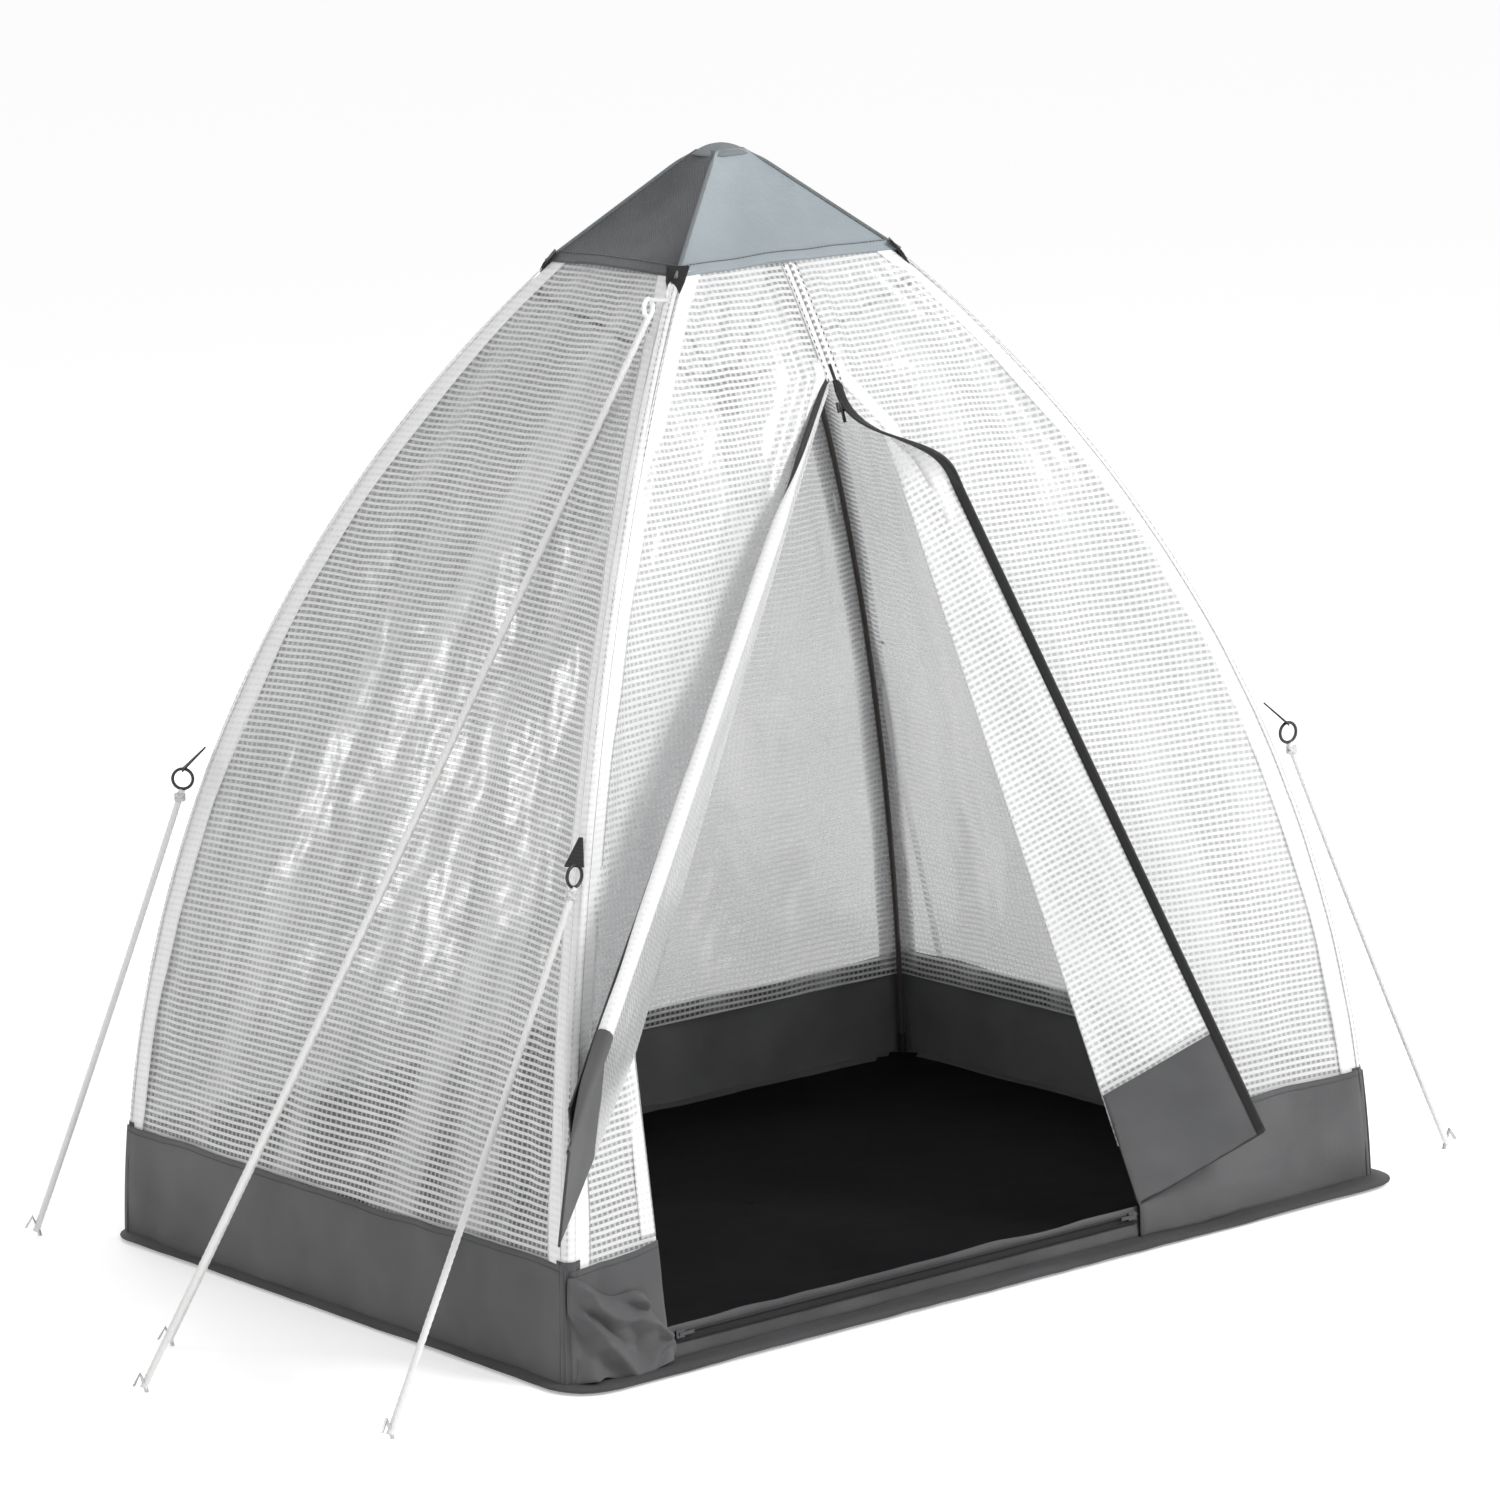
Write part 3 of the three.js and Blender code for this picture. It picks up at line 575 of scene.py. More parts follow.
def cloth_relief(side, u, z, edge):
    """How far the foil stands off its even shape: long soft folds, finer creases, none at a seam."""
    seed = SEED[side]
    calm = smooth(edge / 0.10)
    folds = ruffle(seed, u * 9.0 + z * 2.2, z * 1.7) * 0.0110
    slant = ruffle(seed + 10, (u + z) * 6.0, (u - z) * 1.6) * 0.0080
    creases = ruffle(seed + 20, u * 34.0, z * 21.0) * 0.0016
    sharp = abs(ruffle(seed + 40, u * 7.0 - z * 1.4, z * 2.6 + u)) ** 0.5 * 0.0060
    pull = ruffle(seed + 30, z * 11.0, u * 2.0) * 0.0050 * exp(-edge / 0.10) * smooth(edge / 0.02)
    pleat = ruffle(seed + 50, edge * 42.0, z * 1.4) * 0.0075 * exp(-edge / 0.16) * smooth(edge / 0.03)
    return (folds + slant + creases - sharp) * calm + pull + pleat


def wall_sheet(name, side, shares, material):
    """A wall's foil, or half of the front's. It lies calm at its top and behind the skirt."""
    def place(z, t):
        p = wall_point(side, t, z)
        u, v = run_of(side, p), (up_front if side in ("front", "back") else up_side)(z)
        width = (wall_point(side, shares[0], z) - wall_point(side, shares[-1], z)).length
        edge = min(1 - abs(t), abs(t)) * width if side == "front" else (1 - abs(t)) * width / 2
        calm = smooth((WALL_TOP - z) / 0.05) * smooth((z - 0.186) / 0.09)
        return p + wall_normal(side, t, z) * (cloth_relief(side, u, z, edge) * calm), (u, v)
    return sheet(name, grid(LEVELS, shares[::-1] if side in ("back", "left") else shares, place), material)


def hang(obj, body, node=None):
    """The piece rides on a body, and takes a CAD node's place if one is named."""
    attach(obj, body)
    if node:
        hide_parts(node)


def hang_wall(obj, side, node=None):
    """A piece of a wall rides on its wall's body, takes a CAD node's place if one is named, and gets a mesh
    of its own.
    """
    hang(obj, f"wall_{side}", node)
    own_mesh(obj)


FOIL_LOW = 0.140
LEVELS = np.linspace(FOIL_LOW, WALL_TOP, 150)
for bend in (DOOR_SIDE[1], RIGHT_SHOULDER, DOOR_TOP):
    LEVELS[np.argmin(abs(LEVELS - bend))] = bend
MIDDLE = 1e-6
HALVES = {"left": np.linspace(-1, -MIDDLE, 70), "right": np.linspace(MIDDLE, 1, 80)}
# the back and side walls take the foil with painted shade
for side in ("back", "left", "right"):
    piece = wall_sheet(f"foil_{side}", side, np.linspace(-1, 1, 121), FOIL_SIDE_SHADED)
    hang_wall(piece, side, f"wall_{side}")
for half, shares in HALVES.items():
    hang_wall(wall_sheet(f"foil_front_{half}", "front", shares, FOIL), "front", "wall_front")


# ---- skirts ----
SKIRT_THICKNESS = 0.0014


def skirt_top(side, u):
    seed = SEED[side] + 40
    return 0.172 + ruffle(seed, u * 3.2, 0.3) * 0.014 + ruffle(seed, u * 11.0, 1.3) * 0.004


def skirt_point(side, t, share):
    u = run_of(side, wall_point(side, t, SKIRT_TOP))
    z = lerp(0.004, skirt_top(side, u), share)
    p = wall_point(side, t, z)
    calm = smooth((1 - abs(t)) / 0.06)
    seed = SEED[side] + 50
    folds = abs(ruffle(seed, u * 6.0, z * 4.0)) * 0.0120
    creases = abs(ruffle(seed, u * 22.0, z * 18.0)) * 0.0028
    off = 0.0034 + calm * (folds + creases)
    return p + OUTWARD[side] * off, (u, z)


def skirt_sheet(name, side, shares):
    rows = grid(np.linspace(0.0, 1.0, 26), shares, lambda share, t: skirt_point(side, t, share))
    return sheet(name, rows, SKIRT, SKIRT_THICKNESS)


for side in ("back", "left", "right"):
    piece = skirt_sheet(f"skirt_cloth_{side}", side, np.linspace(-1, 1, 110))
    hang_wall(piece, side, f"skirt_{side}")
for half, shares in HALVES.items():
    piece = skirt_sheet(f"skirt_cloth_front_{half}", "front", shares[::2])
    hang_wall(piece, "front", "skirt_front")


def sill_place(share, x):
    """A place on the low cloth across the doorway, which rolls inwards at its top."""
    top = 0.050 + ruffle(61, x * 9.0, 0.0) * 0.006
    z = lerp(0.004, top, share)
    roll = smooth(share)
    y = -(half_y(z) + OUTER) + ruffle(62, x * 13.0, z * 20.0) * 0.0035 * roll + 0.004 * roll
    return Vector((x, y, z)), (x, z)


rows = grid(np.linspace(0, 1, 9), np.linspace(DOOR_LEFT - 0.004, DOOR_RIGHT + 0.004, 90), sill_place)
hang_wall(sheet("sill_cloth", rows, SKIRT, SKIRT_THICKNESS), "front")

SEAM_LEVEL, SEAM_STAND = 0.95, 0.0012
SEAM_RUNS = {"back": ("back", -0.99, 0.99), "left": ("left", -0.99, 0.99), "right": ("right", -0.99, 0.99),
             "front_left": ("front", -0.99, -0.03), "front_right": ("front", 0.03, 0.99)}
for run, (side, low, high) in SEAM_RUNS.items():
    path = [skirt_point(side, t, SEAM_LEVEL)[0] + OUTWARD[side] * SEAM_STAND
            for t in np.linspace(low, high, 120)]
    hang_wall(stitches(f"skirt_seam_{run}", path, DARK_THREAD), side)


def tuck_place(share, t):
    """A place on the slack cloth bunched up in slanting folds at the foot of the front left corner."""
    x = lerp(-0.758 + 0.012 * sin(share * 5), -0.600 + 0.022 * sin(share * 4 + 1), t)
    z = 0.005 + share * (0.150 - 0.055 * t) + 0.008 * sin(t * 9)
    edge = smooth(t / 0.12) * smooth((1 - t) / 0.12) * smooth((1 - share) / 0.12)
    slant = (t + share) * 5.2 + 1.6 * ruffle(130, t * 2.5, share * 2.5)
    ridge = 1 - abs(sin(slant))
    dent = abs(ruffle(131, t * 4, share * 5))
    out = 0.005 + edge * (0.006 + 0.021 * ridge + 0.014 * dent)
    base = min(-(half_y(z) + OUTER), -(half_y(0.02) + OUTER) + 0.004)
    return Vector((max(x, -(half_x(z) + OUTER) - 0.004), base - out, z)), (x, z)


rows = grid(np.linspace(0, 1, 40), np.linspace(0, 1, 54), tuck_place)
hang_wall(sheet("corner_tuck", rows, SKIRT, SKIRT_THICKNESS), "front")


# ---- sleeves and dark corner strips over the ribs ----
def wall_at(side, corner, distance, z):
    """The place a distance from a corner along one of its two walls, and the wall's outward normal."""
    sx, sy = CORNERS[corner]
    if side == "front":
        width = (wall_point(side, sx, z) - wall_point(side, sx * MIDDLE, z)).length
        t = sx * max(MIDDLE, 1 - distance / max(width, 1e-3))
    elif side == "back":
        t = sx * (1 - distance / (half_x(z) + WALL_EDGE))
    else:
        t = sy * (1 - distance / (half_y(z) + OUTER))
    return wall_point(side, t, z), wall_normal(side, t, z)


def corner_section(corner, z, reach, lift, steps=9):
    """Points at one height round a rib, from the front or back wall to the side wall."""
    sx, sy = CORNERS[corner]
    rib = Vector((sx * half_x(z), sy * half_y(z), z))
    r = OUTER + lift
    bend = [radians(90 * (k + 0.5) / steps) for k in range(steps)]
    wings = []
    for side in ("front" if sy < 0 else "back", "left" if sx < 0 else "right"):
        spots = [wall_at(side, corner, d, z) for d in np.linspace(0.006, min(reach, 0.8 * half_y(z)), 6)]
        wings.append([p + n * (lift * 0.8) for p, n in spots])
    return (wings[0][::-1] + [rib + Vector((sx * sin(a) * r, sy * cos(a) * r, 0)) for a in bend]
            + wings[1])


def corner_strip(name, corner, low, high, reach, lift, material, count, seed):
    """A strip of cloth bent round a rib from one wall to the other."""
    rows = []
    for z in np.linspace(low, high, count):
        ease = 1 + 0.10 * ruffle(seed, z * 9.0, 0.0)
        row = corner_section(corner, z, reach * ease, lift + 0.0012 * (1 + ruffle(seed, z * 17.0, 3.0)))
        steps = [(b - a).length for a, b in zip(row, row[1:])]
        rows.append([(p, (sum(steps[:j]), up_front(z))) for j, p in enumerate(row)])
    return sheet(name, rows, material, 0.0008)


# each strip's foot, head, reach along the walls and lift off them
SLEEVE_SIZE = (0.150, 1.442, 0.040, 0.0022)
STRIP_SIZE = (0.004, 0.176, 0.018, 0.0042)
for i, corner in enumerate(CORNERS):
    sleeve = corner_strip(f"sleeve_{corner}", corner, *SLEEVE_SIZE, SLEEVE, 180, 70 + i)
    hang(sleeve, f"rib_{corner}")
    strip = corner_strip(f"skirt_corner_{corner}", corner, *STRIP_SIZE, SKIRT, 30, 80 + i)
    hang(strip, f"rib_{corner}")


# ---- cap ----
CAP_LOW_HALF = (half_x(CAP_LOW) + CAP_REACH, half_y(CAP_LOW) + CAP_REACH)
CAP_OUT = {side: out * 0.72 + UP * 0.70 for side, out in OUTWARD.items()}
CAP_THICKNESS, GORE_LENGTH = 0.0012, 0.21
CAP_HEM = 0.905


def cap_point(side, t, share):
    """t runs from -1 to 1 along a gore's width, share from 0 at the top to 1 at the hem."""
    rise = 0.004 * (1 - t * t) * share ** 3
    z = lerp(CAP_TOP, CAP_LOW, share) + rise
    x = lerp(CAP_TOP_HALF[0], CAP_LOW_HALF[0], share)
    y = lerp(CAP_TOP_HALF[1], CAP_LOW_HALF[1], share)
    dip = 0.007 * sin(pi * share) * (1 - t * t)
    if side in ("front", "back"):
        p = Vector((t * x, OUTWARD[side].y * y, z))
    else:
        p = Vector((OUTWARD[side].x * x, t * y, z))
    relief = ruffle(90, p.x * 16, p.y * 16, p.z * 16) * 0.0035 * (1 - t * t)
    return p + CAP_OUT[side] * (relief - dip)


def gore(name, side, low, lift, material, count):
    """One side of the cap, from a share of the way down to the hem."""
    def place(share, t):
        p = cap_point(side, t, share) + CAP_OUT[side] * lift
        return p, (run_of(side, p), share * GORE_LENGTH)
    rows = grid(np.linspace(low, 1, count), np.linspace(-1, 1, 61), place)
    return sheet(name, rows, material, CAP_THICKNESS)


def hang_cap(obj, side, node=None):
    hang(obj, f"wall_{side}", node)
    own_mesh(obj)


for side in ("front", "back", "left", "right"):
    # the side gores and their hems take the mesh with painted shade
    cloth = CAP if side in ("front", "back") else CAP_MESH_SHADED
    hang_cap(gore(f"cap_gore_{side}", side, 0.0, 0.0, cloth, 36), side, "cap_cover")
    hang_cap(gore(f"cap_hem_{side}", side, CAP_HEM, 0.0014, cloth, 6), side)
    path = [cap_point(side, t, CAP_HEM + 0.010) + CAP_OUT[side] * 0.0026
            for t in np.linspace(-0.97, 0.97, 60)]
    hang_cap(stitches(f"cap_seam_{side}", path, DARK_THREAD, pitch=0.006, length=0.0038), side)


CROWN_HALF, CROWN_RISE, CROWN_DOME = (0.037, 0.033), 0.0085, 0.0155


def crown_place(share, turn):
    """A place on the cap's small rounded top, a low dome with soft corners."""
    c, s = cos(turn), sin(turn)
    square = (abs(c) ** 4 + abs(s) ** 4) ** -0.25
    x, y = CROWN_HALF[0] * share * c * square, CROWN_HALF[1] * share * s * square
    return Vector((x, y, CAP_TOP + CROWN_RISE - CROWN_DOME * share ** 2.2)), (x, y)


rows = grid(np.linspace(0.02, 1.0, 14), np.linspace(0, FULL_TURN, 49), crown_place)
hang(sheet("cap_crown", rows, CAP_EDGE, CAP_THICKNESS), "hub")

for corner, (sx, sy) in CORNERS.items():
    side = "front" if sy < 0 else "back"
    ridge = [cap_point(side, sx, share) for share in np.linspace(0.015, 1.0, 40)]
    out = Vector((sx * 0.5, sy * 0.5, 0.7)).normalized()
    ridge = [p + out * 0.0015 * smooth(i / 6) for i, p in enumerate(ridge)]
    piping = tube(f"cap_piping_{corner}", ridge, lambda s, _: 0.0006 + 0.0022 * smooth(s / 0.030), CAP_EDGE)
    hang(piping, f"rib_{corner}")


# ---- ground sheet ----
def rounded_reach(angle, half, corner):
    """How far a rounded rectangle reaches in a direction."""
    c, s = abs(cos(angle)), abs(sin(angle))
    x, y = half[0] - corner, half[1] - corner
    reach = min(half[0] / c if c > 1e-9 else 1e9, half[1] / s if s > 1e-9 else 1e9)
    px, py = reach * c, reach * s
    if px > x and py > y:
        b = c * x + s * y
        reach = b + sqrt(max(0.0, b * b - (x * x + y * y - corner * corner)))
    return reach


GROUND_SHOWN = (0.790, GROUND_HALF[1])
GROUND_INSIDE = (0.752, 0.532)
BACK_SHRINK = 0.945


def ground_sheet():
    """Black cloth inside the tent, painted darker than its flap as shade under the tent, and a softly waved
    flap of it outside.
    """
    points, uvs, faces = [Vector((0, 0, 0.0022))], [(0, 0)], []
    rings, around = 60, 360
    for i in range(1, rings + 1):
        share = i / rings
        for k in range(around):
            a = FULL_TURN * k / around
            r = rounded_reach(a, GROUND_SHOWN, GROUND_CORNER) * share
            x, y = r * cos(a), r * sin(a)
            y = y if y < 0 else y * BACK_SHRINK
            z = 0.0024 + 0.0020 * (1 + ruffle(95, x * 7, y * 7)) + 0.0010 * (1 + ruffle(96, x * 26, y * 26))
            outside = smooth((share - 0.92) / 0.06)
            z += outside * 0.0042 * (1 + ruffle(97, x * 8, y * 8)) * (1 - smooth((share - 0.97) / 0.03))
            points.append(Vector((x, y, z)))
            uvs.append((x, y))
    for k in range(around):
        faces.append((0, 1 + k, 1 + (k + 1) % around))
    for i in range(rings - 1):
        for k in range(around):
            a = 1 + i * around + k
            b = 1 + i * around + (k + 1) % around
            faces.append((a, a + around, b + around, b))
    obj = mesh_object("ground_cloth", points, faces, uvs, GROUND_SHADED)
    obj.data.materials.append(FLAP)
    for poly in obj.data.polygons:
        c = poly.center
        if abs(c.x) > GROUND_INSIDE[0] or abs(c.y) > GROUND_INSIDE[1]:
            poly.material_index = 1
    thicken(obj, 0.0012, offset=-1)
    hang(obj, "ground", "ground_sheet")


ground_sheet()


# ---- door flaps ----
def door_point(x, s, n=0.0):
    return DOOR_APEX + Vector((x, 0, 0)) + DOOR_DOWN * s + DOOR_OUT * n


def fold(start, end, degrees):
    axis = (end - start).normalized()
    return (Matrix.Translation(start) @ Matrix.Rotation(radians(degrees), 4, axis)
            @ Matrix.Translation(-start))


def height_at(s):
    return along(DOOR_TOP, 0, SILL, DOOR_LENGTH, s)


def stop_at(z):
    return along(0, DOOR_TOP, DOOR_LENGTH, SILL, z)


def from_top(foot):
    return lambda s: foot * s / DOOR_LENGTH


# the ends of the leaves' hinges, on the outside of the cloth or on its back
APEX = door_point(0, 0, HINGE_LIFT)
SIDE_FOOT = door_point(DOOR_SIDE[0], stop_at(DOOR_SIDE[1]), HINGE_LIFT)
FOLD_FOOT = door_point(LEAF_FOLDS[0], DOOR_LENGTH, HINGE_LIFT)
BACK_APEX = door_point(0, 0, -SHEET - HINGE_LIFT)
BACK_FOOT = door_point(LEAF_FOLDS[1], DOOR_LENGTH, -SHEET - HINGE_LIFT)
RIGHT_HEAD = door_point(RIGHT_HINGE_TOP, 0, HINGE_LIFT)
RIGHT_FOOT = door_point(DOOR_RIGHT, DOOR_LENGTH, HINGE_LIFT)
LEFT_AXIS, RIGHT_AXIS = (SIDE_FOOT - APEX).normalized(), (RIGHT_FOOT - RIGHT_HEAD).normalized()
TURN_A = fold(APEX, SIDE_FOOT, LEAF_TURNS[0])
TURN_B = TURN_A @ fold(APEX, FOLD_FOOT, LEAF_TURNS[1])
TURN_C = TURN_B @ fold(BACK_APEX, BACK_FOOT, -LEAF_TURNS[2])
TURN_R = fold(RIGHT_HEAD, RIGHT_FOOT, -RIGHT_TURN)
BAND_STOP = stop_at(0.215)
LEAF_END = DOOR_LENGTH - 0.003


def leaf_sheet(name, from_x, to_x, s_low, s_high, turn, material, seed, waves, lift=0.0, count=110,
               thickness=0.0):
    """A door leaf, drawn shut and then folded to where it hangs open."""
    def place(s, t):
        x = lerp(from_x(s), to_x(s), t)
        calm = sin(pi * t) ** 0.6 if 0 < t < 1 else 0.0
        wave = waves * calm * (ruffle(seed, x * 10, s * 5) + 0.4 * ruffle(seed + 1, x * 30, s * 20))
        return turn @ door_point(x, s, lift - SHEET / 2 + wave), (x, s)
    rows = grid(np.linspace(s_low, s_high, count), np.linspace(0, 1, 30), place)
    return sheet(name, rows, material, thickness)


def door_left(s):
    return door_left_x(height_at(s))


def door_right(s):
    return door_right_x(height_at(s))


def shifted(edge, trim):
    return lambda s: edge(s) + trim


fold_1, fold_2, zip_line = from_top(LEAF_FOLDS[0]), from_top(LEAF_FOLDS[1]), from_top(ZIP_FOOT)
LEAVES = {
    "a": ("door_leaf_a", shifted(door_left, 0.001), shifted(fold_1, -0.001), TURN_A),
    "b": ("door_leaf_b", shifted(fold_1, 0.001), shifted(fold_2, -0.001), TURN_B),
    "c": ("door_leaf_c", shifted(fold_2, 0.001), shifted(zip_line, -0.004), TURN_C),
    "r": ("door_right", shifted(zip_line, 0.004), shifted(door_right, -0.001), TURN_R),
}
LEAF_TOP = 0.070
PEEL = (0.012, 0.215)
PEEL_END = RIGHT_HEAD + RIGHT_AXIS * PEEL[1]


class Peel:
    """Turns the shut right flap to where it hangs: not at all at its top, and fully below the peel."""

    def __matmul__(self, point):
        reach = (point - RIGHT_HEAD).dot(RIGHT_AXIS)
        share = smooth((reach - PEEL[0]) / (PEEL[1] - PEEL[0]))
        return fold(RIGHT_HEAD, RIGHT_HEAD + RIGHT_AXIS, -RIGHT_TURN * share) @ point


def hang_peel(obj):
    """The top of the right flap, sewn to the front above and turned like the flap below: its place is baked
    into its mesh.
    """
    RIGHT_HEAD + RIGHT_AXIS * PEEL[0]
    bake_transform(obj)


def hang_flap(obj, key, node=None):
    """A door piece rides on its flap's body, takes a CAD node's place if one is named, and gets a mesh of its
    own.
    """
    hang(obj, LEAVES[key][0], node)
    axis, anchor = (RIGHT_AXIS, PEEL_END) if key == "r" else (LEFT_AXIS, APEX)
    tuple(axis)
    tuple(anchor)
    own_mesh(obj)


RIGHT_WAVES, LEFT_WAVES = 0.0045, 0.0022
BIGHT_REACH = 0.012
for i, (key, (body, from_x, to_x, turn)) in enumerate(LEAVES.items()):
    waves = RIGHT_WAVES if key == "r" else LEFT_WAVES
    top = PEEL[1] if key == "r" else LEAF_TOP
    if key == "b":
        from_x = shifted(fold_1, BIGHT_REACH)
    if key == "a":
        to_x = shifted(fold_1, -BIGHT_REACH)
    piece = leaf_sheet(f"flap_{key}_foil", from_x, to_x, top, BAND_STOP, turn, FOIL, 100 + i, waves)
    hang_flap(piece, key, body)
    band = leaf_sheet(f"flap_{key}_band", from_x, to_x, BAND_STOP - 0.012, LEAF_END, turn, SKIRT, 100 + i,
                      waves, lift=0.0006, count=24, thickness=0.0010)
    hang_flap(band, key)


hang_peel(leaf_sheet("flap_r_top", shifted(zip_line, 0.004), shifted(door_right, -0.0005), 0.006,
                     PEEL[1] + 0.004, Peel(), FOIL, 103, RIGHT_WAVES, count=60))

COIL_RADIUS, TAPE_THICKNESS, HEM_THICKNESS = 0.0022, 0.0010, 0.0006


def zip_ribbon(name, near, far, s_low, s_high, turn, material, lift, thickness=TAPE_THICKNESS):
    """A narrow strip beside the upright zip, from one distance off it to another."""
    rows = grid(np.linspace(s_low, s_high, 160), np.linspace(near, far, 4),
                lambda s, off: (turn @ door_point(zip_line(s) + off, s, lift), (off, s)))
    return sheet(name, rows, material, thickness)


def zip_coil(name, offset, s_low, s_high, turn, head):
    """The upright zip's coil. head is how much thicker it is at the top, where its tapes bunch up."""
    def radius(s, _):
        return COIL_RADIUS + head * (1 - smooth((s - 0.12) / 0.08))
    path = [turn @ door_point(zip_line(s) + offset, s, -SHEET / 2) for s in np.linspace(s_low, s_high, 120)]
    return tube(name, path, radius, COIL, sides=8)


ZIP_PARTS = (("c", -1, 0.014, LEAVES["c"][3]), ("r", 1, PEEL[1], TURN_R), ("r_top", 1, 0.006, Peel()))
for key, sign, low, turn in ZIP_PARTS:
    high = PEEL[1] + 0.003 if key == "r_top" else LEAF_END
    made = []
    for face, lift in (("out", 0.0006), ("in", -SHEET - 0.0006)):
        made.append(zip_ribbon(f"zip_tape_{key}_{face}", sign * 0.0016, sign * 0.0150, low, high, turn, TAPE,
                               lift))
    head = 0.0024 if key == "c" else 0.0
    made.append(zip_coil(f"zip_coil_{key}", sign * COIL_RADIUS, low, high, turn, head))
    hem_high = high if key == "r_top" else BAND_STOP
    hem = zip_ribbon(f"zip_hem_{key}", sign * 0.014, sign * 0.046, max(low, 0.075), hem_high, turn, HEM,
                     0.0010, thickness=HEM_THICKNESS)
    if key == "r_top":
        for obj in made:
            hang_peel(obj)
        hang_peel(hem)
    else:
        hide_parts("door_zip_left" if key == "c" else "door_zip_right")
        for obj in made:
            hang_flap(obj, key)
        hang_flap(hem, key)

# the fold between the left flap's first two leaves, a soft round bight of doubled cloth
FOLD_AXIS = (FOLD_FOOT - APEX).normalized()
FOLD_SIDE = FOLD_AXIS.cross(DOOR_OUT)
FOLD_SIDE = FOLD_SIDE if FOLD_SIDE.x > 0 else -FOLD_SIDE
FOLD_LENGTH = (FOLD_FOOT - APEX).length


def bight(name, key, reach_low, reach_high, material, count, swell=1.0):
    """The half that rides on one leaf of the round bight between the left flap's first two leaves."""
    def place(reach, k):
        size = swell * smooth((reach - 0.12) / 0.20) * (1 + 0.16 * ruffle(120, reach * 9, 0.0))
        size *= 0.12 + 0.88 * smooth((FOLD_LENGTH - reach) / 0.12)
        a = pi * k / 24
        out = 0.012 * sin(a) * size - 0.020 * (1 - sin(a))
        bulge = lerp(-0.011, 0.019, 0.5 - 0.5 * cos(a)) * sin(a) ** 0.5 if k else 0.0
        lift = bulge * size + (0.0012 if k > 12 else -0.0006)
        return TURN_A @ (APEX + FOLD_AXIS * reach + FOLD_SIDE * out + DOOR_OUT * lift), (k * 0.0026, reach)
    half = range(0, 13) if key == "a" else range(12, 25)
    rows = grid(np.linspace(reach_low, reach_high, count), half, place)
    hang_flap(sheet(f"{name}_{key}", rows, material), key)


BAND_REACH = FOLD_LENGTH * BAND_STOP / DOOR_LENGTH
for key in ("a", "b"):
    bight("flap_fold_foil", key, 0.020, BAND_REACH, SLEEVE, 150)
    bight("flap_fold_band", key, BAND_REACH - 0.010, FOLD_LENGTH - 0.004, SKIRT, 30, 1.04)

for key, (body, from_x, to_x, turn) in LEAVES.items():
    foot = [lerp(from_x(LEAF_END), to_x(LEAF_END), t) for t in np.linspace(0, 1, 50)]
    rows = grid(foot, (0.0, 0.007, 0.014), lambda x, d: (turn @ door_point(x, LEAF_END - d, 0.0012), (d, x)))
    hang_flap(sheet(f"foot_tape_{key}", rows, TAPE, TAPE_THICKNESS), key)
    path = [turn @ door_point(x, LEAF_END + 0.0008, 0.0) for x in foot]
    hang_flap(tube(f"foot_coil_{key}", path, 0.0020, COIL, sides=8), key)


def door_hem(name, edge_x, sign):
    """A doubled strip down one side of the doorway."""
    def place(z, d):
        width = (wall_point("front", sign, z) - door_edge(edge_x, z)).length
        t = sign * (MIDDLE + min(0.9, d / max(width, 1e-4)))
        return wall_point("front", t, z) + wall_normal("front", t, z) * 0.0012, (d, up_front(z))
    rows = grid(np.linspace(0.176, DOOR_TOP + 0.02, 130), np.linspace(0.0, 0.030, 5), place)
    hang_wall(sheet(name, rows, HEM, HEM_THICKNESS), "front")


door_hem("door_hem_left", door_left_x, -1)
door_hem("door_hem_right", door_right_x, 1)

# the front's middle seam, from the cap to the doorway's top
SEAM_LIFT = 0.0015
seam = [Vector((0, -(half_y(z) + OUTER), z)) + wall_normal("front", 0.3, z) * SEAM_LIFT
        for z in np.linspace(DOOR_TOP - 0.01, CAP_LOW, 60)]
rows = grid(seam, (-0.014, -0.005, 0.005, 0.014), lambda p, d: (p + Vector((d, 0, 0)), (d, up_front(p.z))))
hang_wall(sheet("front_seam_tape", rows, HEM, 0.0008), "front")
ridge = [p + OUTWARD["front"] * SEAM_LIFT for p in seam]
hang_wall(tube("front_seam_ridge", ridge[8:], 0.0026, PALE_COIL, sides=8), "front")
hang_wall(tube("front_seam_coil", ridge[:9], 0.0024, COIL, sides=8), "front")
for half, offset in (("left", -0.011), ("right", 0.011)):
    path = [p + Vector((offset, -0.0009, 0)) for p in seam]
    thread = stitches(f"front_seam_stitch_{half}", path, DARK_THREAD, pitch=0.0098, length=0.0040,
                      radius=0.0008)
    hang_wall(thread, "front")

# the sill's zip
SILL_ZIP_Z, SILL_ZIP_OUT = 0.040, 0.0032
sill_path = [Vector((x, DOOR_FOOT_Y - SILL_ZIP_OUT, SILL_ZIP_Z))
             for x in np.linspace(DOOR_LEFT + 0.004, DOOR_RIGHT - 0.004, 90)]
hang_wall(tube("sill_zip_coil", sill_path, COIL_RADIUS, COIL, sides=8), "front", "sill_zip")
rows = grid(sill_path, (-0.014, -0.007, 0.0), lambda p, d: (p + Vector((0, 0.0006, d)), (d, p.x)))
hang_wall(sheet("sill_zip_tape", rows, TAPE, 0.0008), "front")


# ---- cords, knots and tabs ----
CORD_FOOT_Z = 0.006
GUY_DROOP, HOOK_DROOP = 0.006, 0.008
KNOT_RADIUS, KNOT_CORD = 0.0062, 0.0030
RING_STAND, RING_DROP = 0.050, 0.008
RING_RADIUS, RING_WIRE = 0.0150, 0.0024
TAB_STAND = 0.0145
WEB_THICKNESS = 0.002


